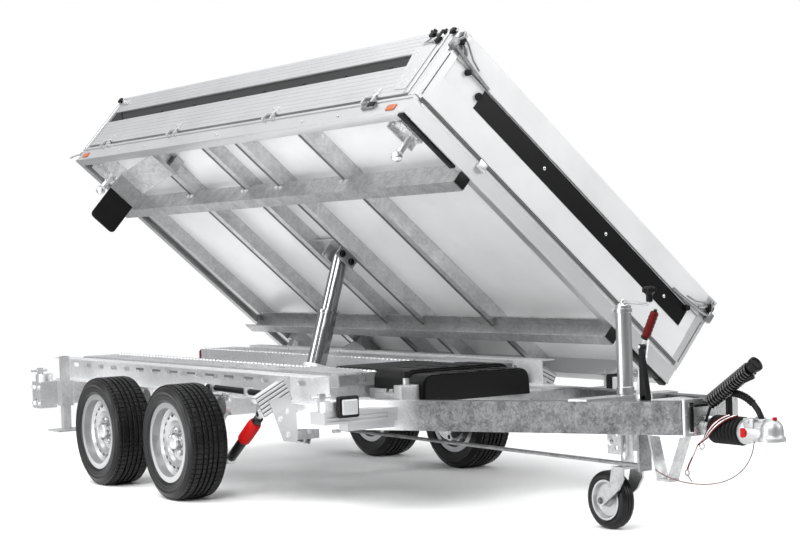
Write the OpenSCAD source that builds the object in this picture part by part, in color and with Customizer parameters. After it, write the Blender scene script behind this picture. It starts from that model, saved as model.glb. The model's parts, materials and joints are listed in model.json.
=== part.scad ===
// Three-way tipper trailer, bed tipped to its left side.
// Inside the modules X runs forward, Y to the left and Z up from the ground,
// with X = 0 halfway between the axles. on_frame() moves that to the hitch ball.

/* [Wheels] */
// Outer diameter of the tyre
tyre_d = 525; // [500:1:540]
// Width of the tyre across its sidewalls
tyre_w = 195; // [180:1:200]
// Diameter of the rim's bead seat
rim_d = 330; // [320:1:336]
// How far a wheel's centre lies inside the boards' outer face
wheel_in = 119; // [115:1:125]
// Distance between the two axles
axle_gap = 770; // [740:1:800]

/* [Bed] */
// Outer length of the bed
bed_l = 3280; // [3200:10:3360]
// Outer width of the bed
bed_w = 1820; // [1810:1:1830]
// Height of the bed's lower edge above the ground when it is lowered
bed_z = 589; // [585:1:600]
// How far the bed's middle lies ahead of the axle midpoint
bed_ahead = 105; // [95:1:115]
// Height of the edge profile around the floor
edge_h = 94; // [90:1:98]
// Height of the boards from the ground side of the edge profile
board_top = 465; // [420:1:520]
// Thickness of a drop board
board_t = 25; // [20:1:28]
// Angle by which the bed is tipped to the left
tip = 41; // [30:1:45]

/* [Chassis] */
// Distance from the axle midpoint to the hitch ball
reach = 3290; // [3240:5:3340]
// Height of the hitch ball above the ground
ball_h = 430; // [420:1:450]
// Radius of the hitch ball
ball_r = 25; // [25:0.5:26]
// Height of the rails' upper face
rail_top = 580; // [570:1:585]
// Height of a rail
rail_h = 120; // [110:1:125]
// Width of a rail
rail_w = 75; // [60:1:80]
// How far a rail's inner face lies inside the boards' outer face
rail_set = 345; // [338:1:350]
// How far the tipping balls lie inside the boards' outer face
pivot_set = 160; // [155:1:165]
// Height of the tipping balls
pivot_z = 500; // [498:1:504]
// Radius of a tipping ball
pivot_r = 25; // [22:0.5:27]

/* [Lift] */
// Height of the lift cylinder's lower pivot
lift_z = 230; // [225:1:240]
// Outer radius of the barrel
barrel_r = 56; // [54:0.5:57]
// Outer radius of the first stage
stage_r = 48; // [46:0.5:49]
// Radius of the second stage
rod_r = 40; // [37:0.5:41]

/* [Supports] */
// Diameter of the jockey wheel
jockey_d = 225; // [210:1:230]
// Distance of the jockey column behind the hitch ball
jockey_back = 760; // [740:5:790]
// How far the jockey wheel trails its column
jockey_trail = 105; // [90:1:120]
// Radius of the jockey column's outer tube
column_r = 30; // [28:0.5:32]
// Width of a rear leg's square tube
leg_w = 40; // [36:1:64]
// Height of a rear leg's foot above the ground
leg_z = 215; // [208:1:230]

/* [Fits] */
// Radial clearance of a turning or sliding round fit
run_fit = 0.05; // [0.02:0.01:0.1]
// Gap around a ball in its cup
ball_gap = 0.3; // [0.2:0.05:0.6]
// Gap around a sliding leg
leg_gap = 0.3; // [0.2:0.05:0.5]
// Gap between a moving board and its neighbours
board_gap = 5; // [5:0.5:8]

/* [Hidden] */
$fn = 48;

half_w = bed_w / 2;
wheel_y = half_w - wheel_in;
wheel_z = tyre_d / 2;
axle_x = axle_gap / 2;
bed_front = bed_ahead + bed_l / 2;
bed_rear = bed_ahead - bed_l / 2;
pivot_y = half_w - pivot_set;
rail_in = half_w - rail_set;
rail_z = rail_top - rail_h;
rail_out = rail_in + rail_w;
rail_rear = bed_rear + 95;
rail_front = axle_x + 915;
jockey_x = reach - jockey_back;

// Bed: an edge profile stands back from the boards' outer face
edge_t = 40;
edge_set = 6;
floor_t = 6;
floor_z = bed_z + edge_h;
member_z = bed_z + 40;
board_z = floor_z + 12;
board_end = bed_z + board_top;
post_w = 60;
long_y = half_w - 395;
long_w = 60;
long_h = 100;
hinge_out = 10;
hinge_z = board_z + 1;
hinge_r = 8;
hinge_pin_r = 5;
hinge_l = 60;
ear_l = 15;
ear_gap = 1;
side_hinges = [for (f = [-0.407, -0.163, 0.139, 0.398]) bed_ahead + f * bed_l];
rear_hinges = [for (k = [-1 : 1]) k * (half_w - 310)];
pin_x = [bed_rear + 195, bed_front - 155];
guard_x = -axle_x - 215;
guard_y = half_w - 205;
pin_stalk_r = 16;
pin_bore_r = 6;
lift_x = bed_ahead - 15;
cross_w = 66;
cross_h = 67;
cross_z = floor_z - floor_t - cross_h;
lift_behind = 193;
lift_ahead = 147;
cross_x = [bed_rear + 102, bed_ahead - 0.243 * bed_l, lift_x - lift_behind, lift_x + lift_ahead,
  bed_ahead + 0.221 * bed_l];

// Lift cylinder: its two stages travel the same distance
lift_top = bed_z + 30;
lift_ball_r = 27;
top_y = pivot_y - pivot_y * cos(tip) + (lift_top - pivot_z) * sin(tip);
top_z = pivot_z + pivot_y * sin(tip) + (lift_top - pivot_z) * cos(tip);
len_up = norm([top_y, top_z - lift_z]);
len_down = lift_top - lift_z;
travel = (len_up - len_down) / 2;
lean = atan2(top_y, top_z - lift_z);
barrel_top = 330;
barrel_bottom = -60;
stage_top = 352 + travel;
stage_l = 330;
rod_l = 340;
trunnion_r = 15;
cheek_in = 58;
cheek_t = 12;

// Drawbar: each beam runs from under its rail to the nose
bar_w = 60;
bar_h = 120;
bar_rear = [axle_x + 465, rail_in + 45, rail_z - bar_h / 2];
bar_nose = [reach - 310, 100, ball_h + 36];
bar_run = bar_nose - bar_rear;
bar_l = norm(bar_run);
bar_yaw = atan2(bar_run[1], bar_run[0]);
bar_pitch = asin(bar_run[2] / bar_l);
bar_wall = 6;
tray_z = rail_z + 6;
pump_x = [bar_rear[0] + 385, bar_rear[0] + 775];
beam_in = bar_rear[1] + (pump_x[1] - 30 - bar_rear[0]) * bar_run[1] / bar_run[0] - bar_w / 2 / cos(bar_yaw);
pump_y = [90.8 - beam_in, beam_in - 150.8];

// Running gear
arm_reach = 150;
axle_tube = 80;
axle_z = rail_z - axle_tube / 2;
stub_r = 20;
arm_in = rail_out + 10;
arm_t = 25;
drum_r = 115;
flange_r = rim_d / 2 + 17;
rim_half = 86;

// Nose
flange_x = reach - 307;
flange_t = 12;
shaft_z = ball_h - 8;
shaft_r = 30;
bellows_end = reach - 130;
head_r = 40;
brake_z = 270;

module on_frame() translate([-reach, 0, -ball_h]) children();
module box(x0, x1, y0, y1, z0, z1)
  translate([x0, y0, z0]) cube([x1 - x0, y1 - y0, z1 - z0]);
module both_sides() {
  children();
  mirror([0, 1, 0]) children();
}
module at_x(r, x0, x1, y, z) translate([x0, y, z]) rotate([0, 90, 0]) cylinder(r = r, h = x1 - x0);
module at_y(r, y0, y1, x, z) translate([x, y1, z]) rotate([90, 0, 0]) cylinder(r = r, h = y1 - y0);
module at_z(r, z0, z1, x, y) translate([x, y, z0]) cylinder(r = r, h = z1 - z0);
// A round bar from point a to point b
module bar(a, b, r) {
  d = b - a;
  translate(a) rotate([0, acos(d[2] / norm(d)), atan2(d[1], d[0])]) cylinder(r = r, h = norm(d));
}
// A flat bar in the XZ plane, t thick from y, w wide about the line a to b
module strip(a, b, w, y, t) {
  d = b - a;
  translate([a[0], y, a[1]]) rotate([0, -atan2(d[1], d[0]), 0]) translate([0, 0, -w / 2]) cube([norm(d), t, w]);
}
// An upright slot cut through a wall
module slot(l, w, h) {
  translate([-l / 2 + w / 2, 0, 0]) cylinder(r = w / 2, h = h);
  translate([l / 2 - w / 2, 0, 0]) cylinder(r = w / 2, h = h);
  translate([-l / 2 + w / 2, -w / 2, 0]) cube([l - w, w, h]);
}
module tipped() translate([0, pivot_y, pivot_z]) rotate([-tip, 0, 0]) translate([0, -pivot_y, -pivot_z]) children();
module lifted() translate([lift_x, 0, lift_z]) rotate([-lean, 0, 0]) children();

// One drawbar beam's outer form, on the left side
module bar_form()
  translate(bar_rear) rotate([0, -bar_pitch, bar_yaw]) translate([0, -bar_w / 2, -bar_h / 2]) cube([bar_l, bar_w, bar_h]);
module bar_channel()
  translate(bar_rear) rotate([0, -bar_pitch, bar_yaw])
    translate([-1, -bar_w / 2 - 1, -bar_h / 2 + bar_wall]) cube([bar_l + 2, bar_w - bar_wall + 1, bar_h - 2 * bar_wall]);

module bar_section() difference() {
  bar_form();
  bar_channel();
}

module main_rails() color("silver") on_frame() both_sides() difference() {
  box(rail_rear, rail_front, rail_in, rail_out, rail_z, rail_top);
  box(rail_rear - 1, rail_front + 1, rail_in + 6, rail_out + 1, rail_z + 6, rail_top - 6);
  for (x = [rail_rear + 120 : 160 : rail_front - 120])
    translate([x, rail_in + 7, rail_top - 40]) rotate([90, 0, 0]) slot(70, 22, 8);
}

module drawbar_beams() color("silver") on_frame() both_sides() difference() {
  bar_section();
  box(rail_rear, rail_front, rail_in - 1, rail_out + 60, rail_z, rail_top);
  box(bar_nose[0], bar_nose[0] + 99, 0, 300, 300, 600);
}

module cross_bars() {
  box(rail_rear + 540, rail_rear + 600, -rail_in, rail_in, rail_z, rail_z + 60);
  box(pump_x[0] - 75, pump_x[0] - 15, -rail_in, rail_in, rail_z + 12, rail_z + 62);
}

// Wide inner members beside the lift; the bed's longitudinals drop between them and the rails
inner_in = rail_in - 315;
inner_out = rail_in - 95;
inner_front = pump_x[0] - 20;
module inner_rails() color("silver") on_frame() both_sides() difference() {
  box(rail_rear, inner_front, inner_in, inner_out, rail_z, rail_top - 4);
  box(rail_rear - 1, inner_front + 1, inner_in + 6, inner_out - 6, rail_z - 1, rail_top - 10);
  for (x = [rail_rear + 300 : 420 : inner_front - 200])
    translate([x, (inner_in + inner_out) / 2, rail_top - 20]) slot(90, 22, 30);
  cross_bars();
}

// Cross beams under the rails and between the drawbar beams
module cross_beams() color("silver") on_frame() difference() {
  union() {
    for (x = [lift_x - 130, lift_x + 70]) box(x, x + 60, -rail_out, rail_out, rail_z - 60, rail_z);
    cross_bars();
    for (x = [pump_x[0] + 85, pump_x[0] + 305]) box(x, x + 50, -rail_in, rail_in, tray_z - 46, tray_z);
    box(bar_rear[0] + 1150, bar_rear[0] + 1200, -rail_in, rail_in, rail_z - 40, rail_z);
  }
  both_sides() bar_section();
  both_sides() bar_outside();
}
module bar_outside()
  translate(bar_rear) rotate([0, -bar_pitch, bar_yaw]) translate([0, bar_w / 2 - 1, -300]) cube([bar_l, 300, 600]);

module rear_beam() color("silver") on_frame() {
  difference() {
    box(pin_x[0] - 50, pin_x[0] + 50, -pivot_y + 46, pivot_y - 46, rail_z - 120, rail_z);
    box(pin_x[0] - 42, pin_x[0] + 42, -pivot_y + 38, pivot_y - 38, rail_z - 112, rail_z - 8);
  }
  both_sides() difference() {
    box(pin_x[0] - 55, pin_x[0] + 55, pivot_y - 46, pivot_y + 46, rail_z - 140, rail_z);
    for (z = [rail_z - 105, rail_z - 45]) at_y(14, pivot_y + 30, pivot_y + 50, pin_x[0], z);
  }
}

module corner_sockets() color("gray") on_frame() both_sides() for (x = pin_x) {
  difference() {
    at_z(44, rail_z, pivot_z, x, pivot_y);
    translate([x, pivot_y, pivot_z]) sphere(r = pivot_r + ball_gap);
  }
  difference() {
    box(x - 62, x - 44, pivot_y - 14, pivot_y + 14, rail_z, pivot_z + 30);
    at_y(7, pivot_y - 20, pivot_y + 20, x - 53, pivot_z + 16);
  }
  at_y(7, pivot_y - 40, pivot_y + 48, x - 53, pivot_z + 16);
}

// Arms that carry the front sockets, with a brace down to the drawbar
arm_x = bar_rear[0] + 210;
arm_slope = 26.6;
module front_supports() color("lightgray") on_frame() both_sides() {
  difference() {
    union() {
      box(pin_x[1] - 62, pin_x[1] + 50, 300, pivot_y + 50, rail_z - 50, rail_z);
      box(pin_x[1] - 40, pin_x[1] + 30, 380, pivot_y - 70, rail_z - 82, rail_z - 40);
    }
    bar_form();
    bar_inside();
    for (z = [rail_z - 38, rail_z - 22]) box(pin_x[1] + 44, pin_x[1] + 60, 500, pivot_y + 40, z, z + 8);
  }
  difference() {
    union() {
      translate([arm_x, rail_out - 40, rail_z + 85]) rotate([-arm_slope, 0, 0]) difference() {
        translate([0, 0, -47]) cube([40, 212, 94]);
        translate([-1, 195, -20]) cube([42, 30, 40]);
      }
      translate([arm_x + 38, 0, 0]) rotate([90, 0, 90]) linear_extrude(8)
        polygon([[rail_out - 24, rail_z - 170], [rail_out + 42, rail_z - 157], [rail_out + 86, rail_z - 43],
          [rail_out + 110, rail_z + 20], [rail_out - 24, rail_z + 40]]);
      box(arm_x + 5, arm_x + 40, rail_out - 34, rail_out, rail_z - 40, rail_z);
    }
    box(rail_rear, rail_front, rail_in - 1, rail_out, rail_z, rail_top + 30);
  }
}
module bar_inside()
  translate(bar_rear) rotate([0, -bar_pitch, bar_yaw]) translate([0, -400 + 1, -300]) cube([bar_l, 400 - bar_w / 2, 600]);

// Tube, trailing arms, stubs and brake back plates of one axle at x
module axle(x) color("silver") {
  tube_x = x + arm_reach;
  difference() {
    box(tube_x - axle_tube / 2, tube_x + axle_tube / 2, -arm_in, arm_in, axle_z - axle_tube / 2, rail_z);
    box(tube_x - 34, tube_x + 34, -arm_in - 1, arm_in + 1, axle_z - 34, axle_z + 34);
  }
  both_sides() {
    strip([tube_x, axle_z], [x, wheel_z], 76, arm_in + 2, arm_t - 4);
    at_y(46, arm_in, arm_in + arm_t, tube_x, axle_z);
    at_y(44, arm_in, arm_in + arm_t, x, wheel_z);
    at_y(drum_r + 3, arm_in + arm_t, arm_in + arm_t + 12, x, wheel_z);
    at_y(stub_r, arm_in + arm_t, wheel_y + 5, x, wheel_z);
  }
}
module axle_front() on_frame() {
  axle(axle_x);
  color("silver") box(axle_x + arm_reach - 8, axle_x + arm_reach + 8, -90, -50, brake_z - 20, rail_z - axle_tube);
  color("silver") both_sides() {
    strip([axle_x, wheel_z], shock_low, 40, arm_in + 4, arm_t - 8);
    at_y(24, arm_in, arm_in + arm_t - 6, shock_low[0], shock_low[1]);
  }
}
module axle_rear() on_frame() axle(-axle_x);

shock_low = [axle_x + 115, 172];
shock_high = [axle_x + 427, rail_z - 62];
shock_y = rail_in + 57;
module shock_absorbers() color("firebrick") on_frame() both_sides() {
  low = [shock_low[0], shock_y, shock_low[1]];
  high = [shock_high[0], shock_y, shock_high[1]];
  mid = low + (high - low) * 0.5;
  bar(low, high, 13);
  bar(low + (high - low) * 0.08, mid, 25);
  bar(mid, low + (high - low) * 0.9, 30);
  at_y(20, shock_y - 22, arm_in, low[0], low[2]);
  at_y(20, shock_y - 22, shock_y + 23, high[0], high[2]);
  box(high[0] - 20, high[0] + 20, shock_y - 22, rail_out, high[2], rail_z);
}

module rear_lamps() color("firebrick") on_frame() both_sides() {
  box(rail_rear - 55, rail_rear - 12, inner_in + 5, inner_out - 5, rail_z + 10, rail_z + 105);
  box(rail_rear - 12, rail_rear, inner_in, inner_out, rail_z + 2, rail_z + 113);
}

module marker_lamps() color("white") on_frame() both_sides() {
  box(pin_x[1] + 50, pin_x[1] + 72, pivot_y - 100, pivot_y - 2, rail_z - 26, rail_z + 66);
  box(pin_x[1] + 72, pin_x[1] + 82, pivot_y - 87, pivot_y - 15, rail_z - 12, rail_z + 52);
}

module pump_box() color("dimgray") on_frame() {
  translate([pump_x[0], 0, tray_z]) difference() {
    rotate([90, 0, 90]) linear_extrude(pump_x[1] - pump_x[0])
      polygon([[pump_y[0], 0], [pump_y[1], 0], [pump_y[1], 96], [pump_y[1] - 35, 132], [pump_y[0] + 35, 132],
        [pump_y[0], 96]]);
    for (k = [1.1 : 4.1]) translate([40, pump_y[0] + k * (pump_y[1] - pump_y[0]) / 5.6, 126]) cube([300, 40, 10]);
  }
}
module pump_unit() color("gray") on_frame() {
  box(pump_x[1] - 90, pump_x[1] - 30, pump_y[0] - 90, pump_y[0], tray_z, tray_z + 74);
  at_z(20, tray_z + 73, tray_z + 132, pump_x[1] - 60, pump_y[0] - 46);
  box(pump_x[0] + 115, pump_x[1] - 89, pump_y[0] - 62, pump_y[0], tray_z, tray_z + 34);
}

module cylinder_cradle() color("silver") on_frame() for (s = [-1, 1])
  difference() {
    box(lift_x + s * (cheek_in + cheek_t / 2) - cheek_t / 2, lift_x + s * (cheek_in + cheek_t / 2) + cheek_t / 2,
      -60, 60, lift_z - 40, rail_z);
    at_x(trunnion_r + run_fit, lift_x - 100, lift_x + 100, 0, lift_z);
  }

module coupling_housing() color("lightgray") on_frame() {
  difference() {
    box(reach - 600, flange_x, -160, 160, ball_h - 30, ball_h + 82);
    both_sides() bar_form();
    both_sides() bar_outside();
    box(reach - 570, flange_x - 40, -60, 60, ball_h - 38, ball_h - 18);
  }
  box(flange_x, flange_x + flange_t, -130, 130, ball_h - 28, ball_h + 104);
  at_x(44, flange_x + flange_t, flange_x + flange_t + 16, 0, shaft_z);
  both_sides() for (z = [ball_h - 5, ball_h + 80]) at_x(12, flange_x + flange_t, flange_x + flange_t + 10, 95, z);
  box(reach - 597, reach - 556, -85, -60, ball_h + 81, ball_h + 115);
  box(reach - 530, reach - 506, -100, -92, ball_h + 60, ball_h + 116);
}

module bellows() color("black") on_frame() {
  x0 = flange_x + flange_t + 16;
  half = (bellows_end - x0) / 12;
  translate([x0, 0, shaft_z]) rotate([0, 90, 0]) rotate_extrude()
    polygon(concat([[shaft_r, 0]], [for (i = [0 : 12]) [i % 2 == 0 ? 40 : 52, i * half]], [[shaft_r, 12 * half]]));
}

// The shaft and the cast head: the ball seat is a blind bore with a round top
module head_form() {
  at_x(shaft_r, flange_x + flange_t + 16, bellows_end, 0, shaft_z);
  at_x(44, bellows_end, bellows_end + 20, 0, shaft_z);
  translate([bellows_end + 20, 0, shaft_z]) rotate([0, 90, 0]) cylinder(r1 = 40, r2 = 32, h = 78);
  at_z(head_r, ball_h - 35, ball_h + 5, reach, 0);
  translate([reach, 0, ball_h + 5]) sphere(r = head_r);
  translate([reach, 0, ball_h - 35]) cylinder(r = head_r + 8, h = 14);
  box(reach - 70, reach, -30, 30, ball_h - 20, ball_h + 30);
}
module coupling_head() color("silver") on_frame() difference() {
  head_form();
  at_z(ball_r + ball_gap, ball_h - 60, ball_h, reach, 0);
  translate([reach, 0, ball_h]) sphere(r = ball_r + ball_gap);
}

module coupling_handle() color("black") on_frame() difference() {
  translate([0, 16, 0]) rotate([90, 0, 0]) linear_extrude(32)
    polygon([[reach - 80, ball_h + 20], [reach - 35, ball_h + 20], [reach - 42, ball_h + 52], [reach - 72, ball_h + 84],
      [reach - 112, ball_h + 114], [reach - 185, ball_h + 134], [reach - 188, ball_h + 112], [reach - 126, ball_h + 92],
      [reach - 90, ball_h + 62]]);
  head_form();
  bar(coil_low, coil_high, coil_r + 0.5);
}

lever_y = -64;
module grip_form()
  bar([reach - 530, lever_y - 30, ball_h + 320], [reach - 475, lever_y - 30, ball_h + 414], 16);
module handbrake_lever() color("silver") on_frame() {
  difference() {
    strip([reach - 577, ball_h + 98], [reach - 529, ball_h + 318], 30, lever_y - 8 - 26, 8);
    grip_form();
  }
  at_y(14, lever_y - 26 - 8, -85, reach - 577, ball_h + 98);
}
module handbrake_grip() color("red") on_frame() grip_form();
module handbrake_strut() color("black") on_frame() {
  high = [reach - 534, lever_y - 50, ball_h + 285];
  low = [reach - 518, lever_y - 50, ball_h + 100];
  at_y(10, lever_y - 60, lever_y - 34, high[0], high[2]);
  at_y(10, lever_y - 60, lever_y - 36, low[0], low[2]);
  bar(high, low, 7);
  bar(low, low + (high - low) * 0.55, 11);
}

module brake_rod() color("silver") on_frame() {
  at_x(8, axle_x + arm_reach + 8, reach - 590, -70, brake_z);
  box(reach - 590, reach - 578, -100, -40, brake_z - 18, ball_h - 30);
}

module skid_strap() color("silver") on_frame() difference() {
  union() {
    strip([reach - 540, ball_h - 30], [reach - 490, ball_h - 202], 8, -90, 50);
    strip([reach - 500, ball_h - 201], [reach - 430, ball_h - 201], 9, -89, 48);
    strip([reach - 440, ball_h - 202], [reach - 360, ball_h - 30], 8, -90, 50);
  }
  box(reach - 600, flange_x, -160, 160, ball_h - 30, ball_h + 82);
}

column_top = 862;
column_low = 430;
inner_r = 25;
inner_top = 560;
fork_top = 262;
wheel_half = 32;
module jockey_bracket() color("silver") on_frame() difference() {
  union() {
    box(jockey_x - 42, jockey_x + 42, -260, 260, 455, 520);
    both_sides() box(jockey_x - 40, jockey_x + 40, 58, 64, 300, 456);
  }
  for (z = [325, 375]) at_y(9, -70, 70, jockey_x + 12, z);
  at_z(column_r, 400, 600, jockey_x, 0);
  both_sides() bar_form();
  both_sides() bar_outside();
}
module jockey_tube() color("silver") on_frame() {
  difference() {
    at_z(column_r, column_low, column_top, jockey_x, 0);
    at_z(inner_r + run_fit, column_low - 1, column_top - 12, jockey_x, 0);
  }
  at_z(20, column_top, column_top + 18, jockey_x, 0);
  bar([jockey_x, 0, column_top + 10], [jockey_x + 152, 0, column_top + 14], 7);
  at_z(17, column_top + 8, column_top + 70, jockey_x + 150, 0);
}
module jockey_inner() color("silver") on_frame() difference() {
  at_z(inner_r, fork_top, inner_top, jockey_x, 0);
  at_z(15 + run_fit, fork_top - 1, fork_top + 80, jockey_x, 0);
}
module jockey_fork() color("silver") on_frame() {
  axle_px = jockey_x - jockey_trail;
  at_z(15, fork_top - 6, fork_top + 70, jockey_x, 0);
  at_z(30, fork_top - 12, fork_top - 2, jockey_x, 0);
  box(jockey_x - 34, jockey_x + 30, -52, 52, fork_top - 20, fork_top - 12);
  both_sides() {
    translate([0, 52, 0]) rotate([90, 0, 0]) linear_extrude(8)
      polygon([[jockey_x - 34, fork_top - 12], [jockey_x + 30, fork_top - 12], [jockey_x + 30, fork_top - 58],
        [jockey_x, fork_top - 102], [axle_px + 14, jockey_d / 2 - 16], [axle_px - 14, jockey_d / 2 + 16],
        [jockey_x - 48, fork_top - 72]]);
    at_y(22, 44, 52, axle_px, jockey_d / 2);
  }
  at_y(10, -44, 44, axle_px, jockey_d / 2);
}
module jockey_tyre() color("black") on_frame()
  translate([jockey_x - jockey_trail, 0, jockey_d / 2]) rotate([90, 0, 0]) rotate_extrude($fn = 72)
    polygon([[78, -26], [100, -wheel_half], [jockey_d / 2 - 3, -24], [jockey_d / 2, -14], [jockey_d / 2, 14],
      [jockey_d / 2 - 3, 24], [100, wheel_half], [78, 26]]);
module jockey_rim() color("white") on_frame()
  translate([jockey_x - jockey_trail, 0, jockey_d / 2]) rotate([90, 0, 0]) rotate_extrude()
    polygon([[10 + run_fit, -36], [24, -36], [28, -14], [62, -14], [70, -30], [78, -30], [78, 30], [70, 30], [62, 14],
      [28, 14], [24, 36], [10 + run_fit, 36]]);

leg_x = guard_x - 270 + 0.6265 * (pin_x[0] + 55 - (guard_x - 270));
leg_y = rail_out + 80;
leg_top = rail_top + 20;
module leg_guides() color("silver") on_frame() both_sides() difference() {
  union() {
    box(leg_x - leg_w / 2 - 12, leg_x + leg_w / 2 + 12, leg_y - leg_w / 2 - 12, leg_y + leg_w / 2 + 12, rail_z - 120, rail_z + 10);
    box(leg_x - 40, leg_x + 40, rail_out - 50, leg_y - leg_w / 2 - 12, rail_z - 108, rail_z);
  }
  box(leg_x - leg_w / 2 - leg_gap, leg_x + leg_w / 2 + leg_gap, leg_y - leg_w / 2 - leg_gap, leg_y + leg_w / 2 + leg_gap,
    rail_z - 160, rail_z + 40);
}
module leg() color("silver") {
  difference() {
    box(leg_x - leg_w / 2, leg_x + leg_w / 2, leg_y - leg_w / 2, leg_y + leg_w / 2, leg_z, leg_top);
    box(leg_x - leg_w / 2 + 5, leg_x + leg_w / 2 - 5, leg_y - leg_w / 2 + 5, leg_y + leg_w / 2 - 5, leg_z + 20, leg_top + 1);
  }
  box(leg_x - 75, leg_x + 75, leg_y - 75, leg_y + 75, leg_z - 8, leg_z);
}
module leg_left() on_frame() leg();
module leg_right() on_frame() mirror([0, 1, 0]) leg();

coil_r = 22;
coil_low = [reach - 265, -30, ball_h + 92];
coil_high = [reach - 85, -10, ball_h + 215];
module cable_coil() color("black") on_frame() {
  bar(coil_low, coil_high, coil_r);
  bar(coil_high, coil_high + (coil_high - coil_low) * 0.16, 27);
  box(flange_x + flange_t, reach - 250, -42, -18, ball_h + 80, ball_h + 92);
}

// Thin safety cable: hangs from the coupling, back under the housing and up to the brake
cable_r = 3;
cable_a = [reach - 60, -26, ball_h - 35.6];
cable_b = [reach - 55, -60, ball_h - 230];
cable_c = [reach - 330, -130, ball_h - 215];
cable_d = [reach - 501, -92, ball_h - 165];
cable_n = 14;
function cable_at(t) = pow(1 - t, 3) * cable_a + 3 * t * pow(1 - t, 2) * cable_b + 3 * t * t * (1 - t) * cable_c
  + pow(t, 3) * cable_d;
function cable_dir(t) = let (d = cable_at(t + 0.01) - cable_at(t - 0.01)) d / norm(d);
function cable_ring(t) = let (d = cable_dir(t), s = cross(d, [0, 1, 0]), u = s / norm(s), v = cross(d, u))
  [for (k = [0 : 7]) cable_at(t) + cable_r * (cos(k * 45) * u + sin(k * 45) * v)];
module breakaway_cable() color("darkred") on_frame() polyhedron(
  points = [for (i = [0 : cable_n]) each cable_ring(i / cable_n)],
  faces = concat([[for (k = [0 : 7]) k]], [[for (k = [7 : -1 : 0]) cable_n * 8 + k]],
    [for (i = [0 : cable_n - 1]) for (k = [0 : 7])
      [i * 8 + k, i * 8 + 8 + k, i * 8 + 8 + (k + 1) % 8, i * 8 + (k + 1) % 8]]));

// Tyre section: half widths against radii, hollow over the rim's well
module tyre_ring() rotate([90, 0, 0]) difference() {
  rotate_extrude($fn = 96) difference() {
    polygon([[rim_d / 2, -78], [flange_r, -rim_half + 6], [flange_r + 1, -rim_half], [flange_r + 7, -91],
      [wheel_z - 48, -tyre_w / 2], [wheel_z - 22, -tyre_w / 2 + 5], [wheel_z - 7, -84], [wheel_z, -66], [wheel_z, 66],
      [wheel_z - 7, 84], [wheel_z - 22, tyre_w / 2 - 5], [wheel_z - 48, tyre_w / 2], [flange_r + 7, 91],
      [flange_r + 1, rim_half], [flange_r, rim_half - 6], [rim_d / 2, 78], [rim_d / 2, 62], [wheel_z - 62, 78],
      [wheel_z - 20, 70], [wheel_z - 20, -70], [wheel_z - 62, -78], [rim_d / 2, -62]]);
    for (w = [-36, -12, 12, 36]) translate([wheel_z - 8, w - 4]) square([20, 8]);
  }
}
// Rim section on the left side: the outside is +, the disc lies near the outer face
module rim_ring() {
  rotate([-90, 0, 0]) {
    rotate_extrude($fn = 72) polygon([[rim_d / 2 - 8, -rim_half], [flange_r, -rim_half], [flange_r, -rim_half + 6],
      [rim_d / 2, -78], [rim_d / 2, -56], [150, -44], [150, 30], [rim_d / 2, 44], [rim_d / 2, 78],
      [flange_r, rim_half - 6], [flange_r, rim_half], [rim_d / 2 - 8, rim_half], [rim_d / 2 - 8, 46], [143, 32],
      [143, -46], [rim_d / 2 - 8, -58]]);
    difference() {
      rotate_extrude($fn = 72) polygon([[stub_r + run_fit, 20], [90, 20], [100, 34], [120, 40], [145, 24], [145, 30],
        [122, 47], [98, 42], [86, 28], [stub_r + run_fit, 28]]);
      for (a = [0 : 20 : 340]) rotate([0, 0, a]) translate([120, 0, 10]) rotate([0, 0, 90]) slot(22, 12, 60);
    }
    rotate_extrude() polygon([[stub_r + run_fit, -94], [drum_r, -94], [drum_r, 12], [86, 22], [stub_r + run_fit, 22]]);
    rotate_extrude() polygon([[0, 25], [34, 25], [34, 50], [28, 58], [0, 58]]);
    for (a = [0 : 72 : 288]) rotate([0, 0, a]) translate([56, 0, 26]) cylinder(r = 11, h = 18);
  }
}
module at_wheel(x, s) on_frame() translate([x, s * wheel_y, wheel_z]) children();
module tyre_front_left() color("black") at_wheel(axle_x, 1) tyre_ring();
module tyre_front_right() color("black") at_wheel(axle_x, -1) tyre_ring();
module tyre_rear_left() color("black") at_wheel(-axle_x, 1) tyre_ring();
module tyre_rear_right() color("black") at_wheel(-axle_x, -1) tyre_ring();
module rim_front_left() color("silver") at_wheel(axle_x, 1) rim_ring();
module rim_front_right() color("silver") at_wheel(axle_x, -1) mirror([0, 1, 0]) rim_ring();
module rim_rear_left() color("silver") at_wheel(-axle_x, 1) rim_ring();
module rim_rear_right() color("silver") at_wheel(-axle_x, -1) mirror([0, 1, 0]) rim_ring();

// The floor's corners are cut out around the posts
module bed_floor() color("lightgray") on_frame() tipped() difference() {
  box(bed_rear + edge_set + edge_t, bed_front - edge_set - edge_t, -half_w + edge_set + edge_t,
    half_w - edge_set - edge_t, floor_z - floor_t, floor_z);
  both_sides() for (x = [bed_rear - 1, bed_front - post_w - 1])
    box(x, x + post_w + 2, half_w - post_w - 1, half_w, floor_z - 2 * floor_t, floor_z + 1);
}

// Two ears and the hinge pin between them, for a knuckle along X at the left edge
module ears() {
  for (x = [-hinge_l / 2 - ear_gap - ear_l, hinge_l / 2 + ear_gap]) {
    at_x(hinge_r, x, x + ear_l, hinge_out, 0);
    box(x, x + ear_l, -edge_set, hinge_out + hinge_r, -34, -10);
    box(x, x + ear_l, hinge_out - hinge_r, hinge_out + hinge_r, -12, 0);
  }
  at_x(hinge_pin_r, -hinge_l / 2 - ear_gap - 2, hinge_l / 2 + ear_gap + 2, hinge_out, 0);
}
module knuckle() {
  difference() {
    union() {
      at_x(hinge_r, -hinge_l / 2, hinge_l / 2, hinge_out, 0);
      box(-hinge_l / 2, hinge_l / 2, -1, hinge_out, 0, hinge_r);
      box(-hinge_l / 2, hinge_l / 2, -1, 4, 0, 60);
    }
    at_x(hinge_pin_r + run_fit, -hinge_l, hinge_l, hinge_out, 0);
  }
}

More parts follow.
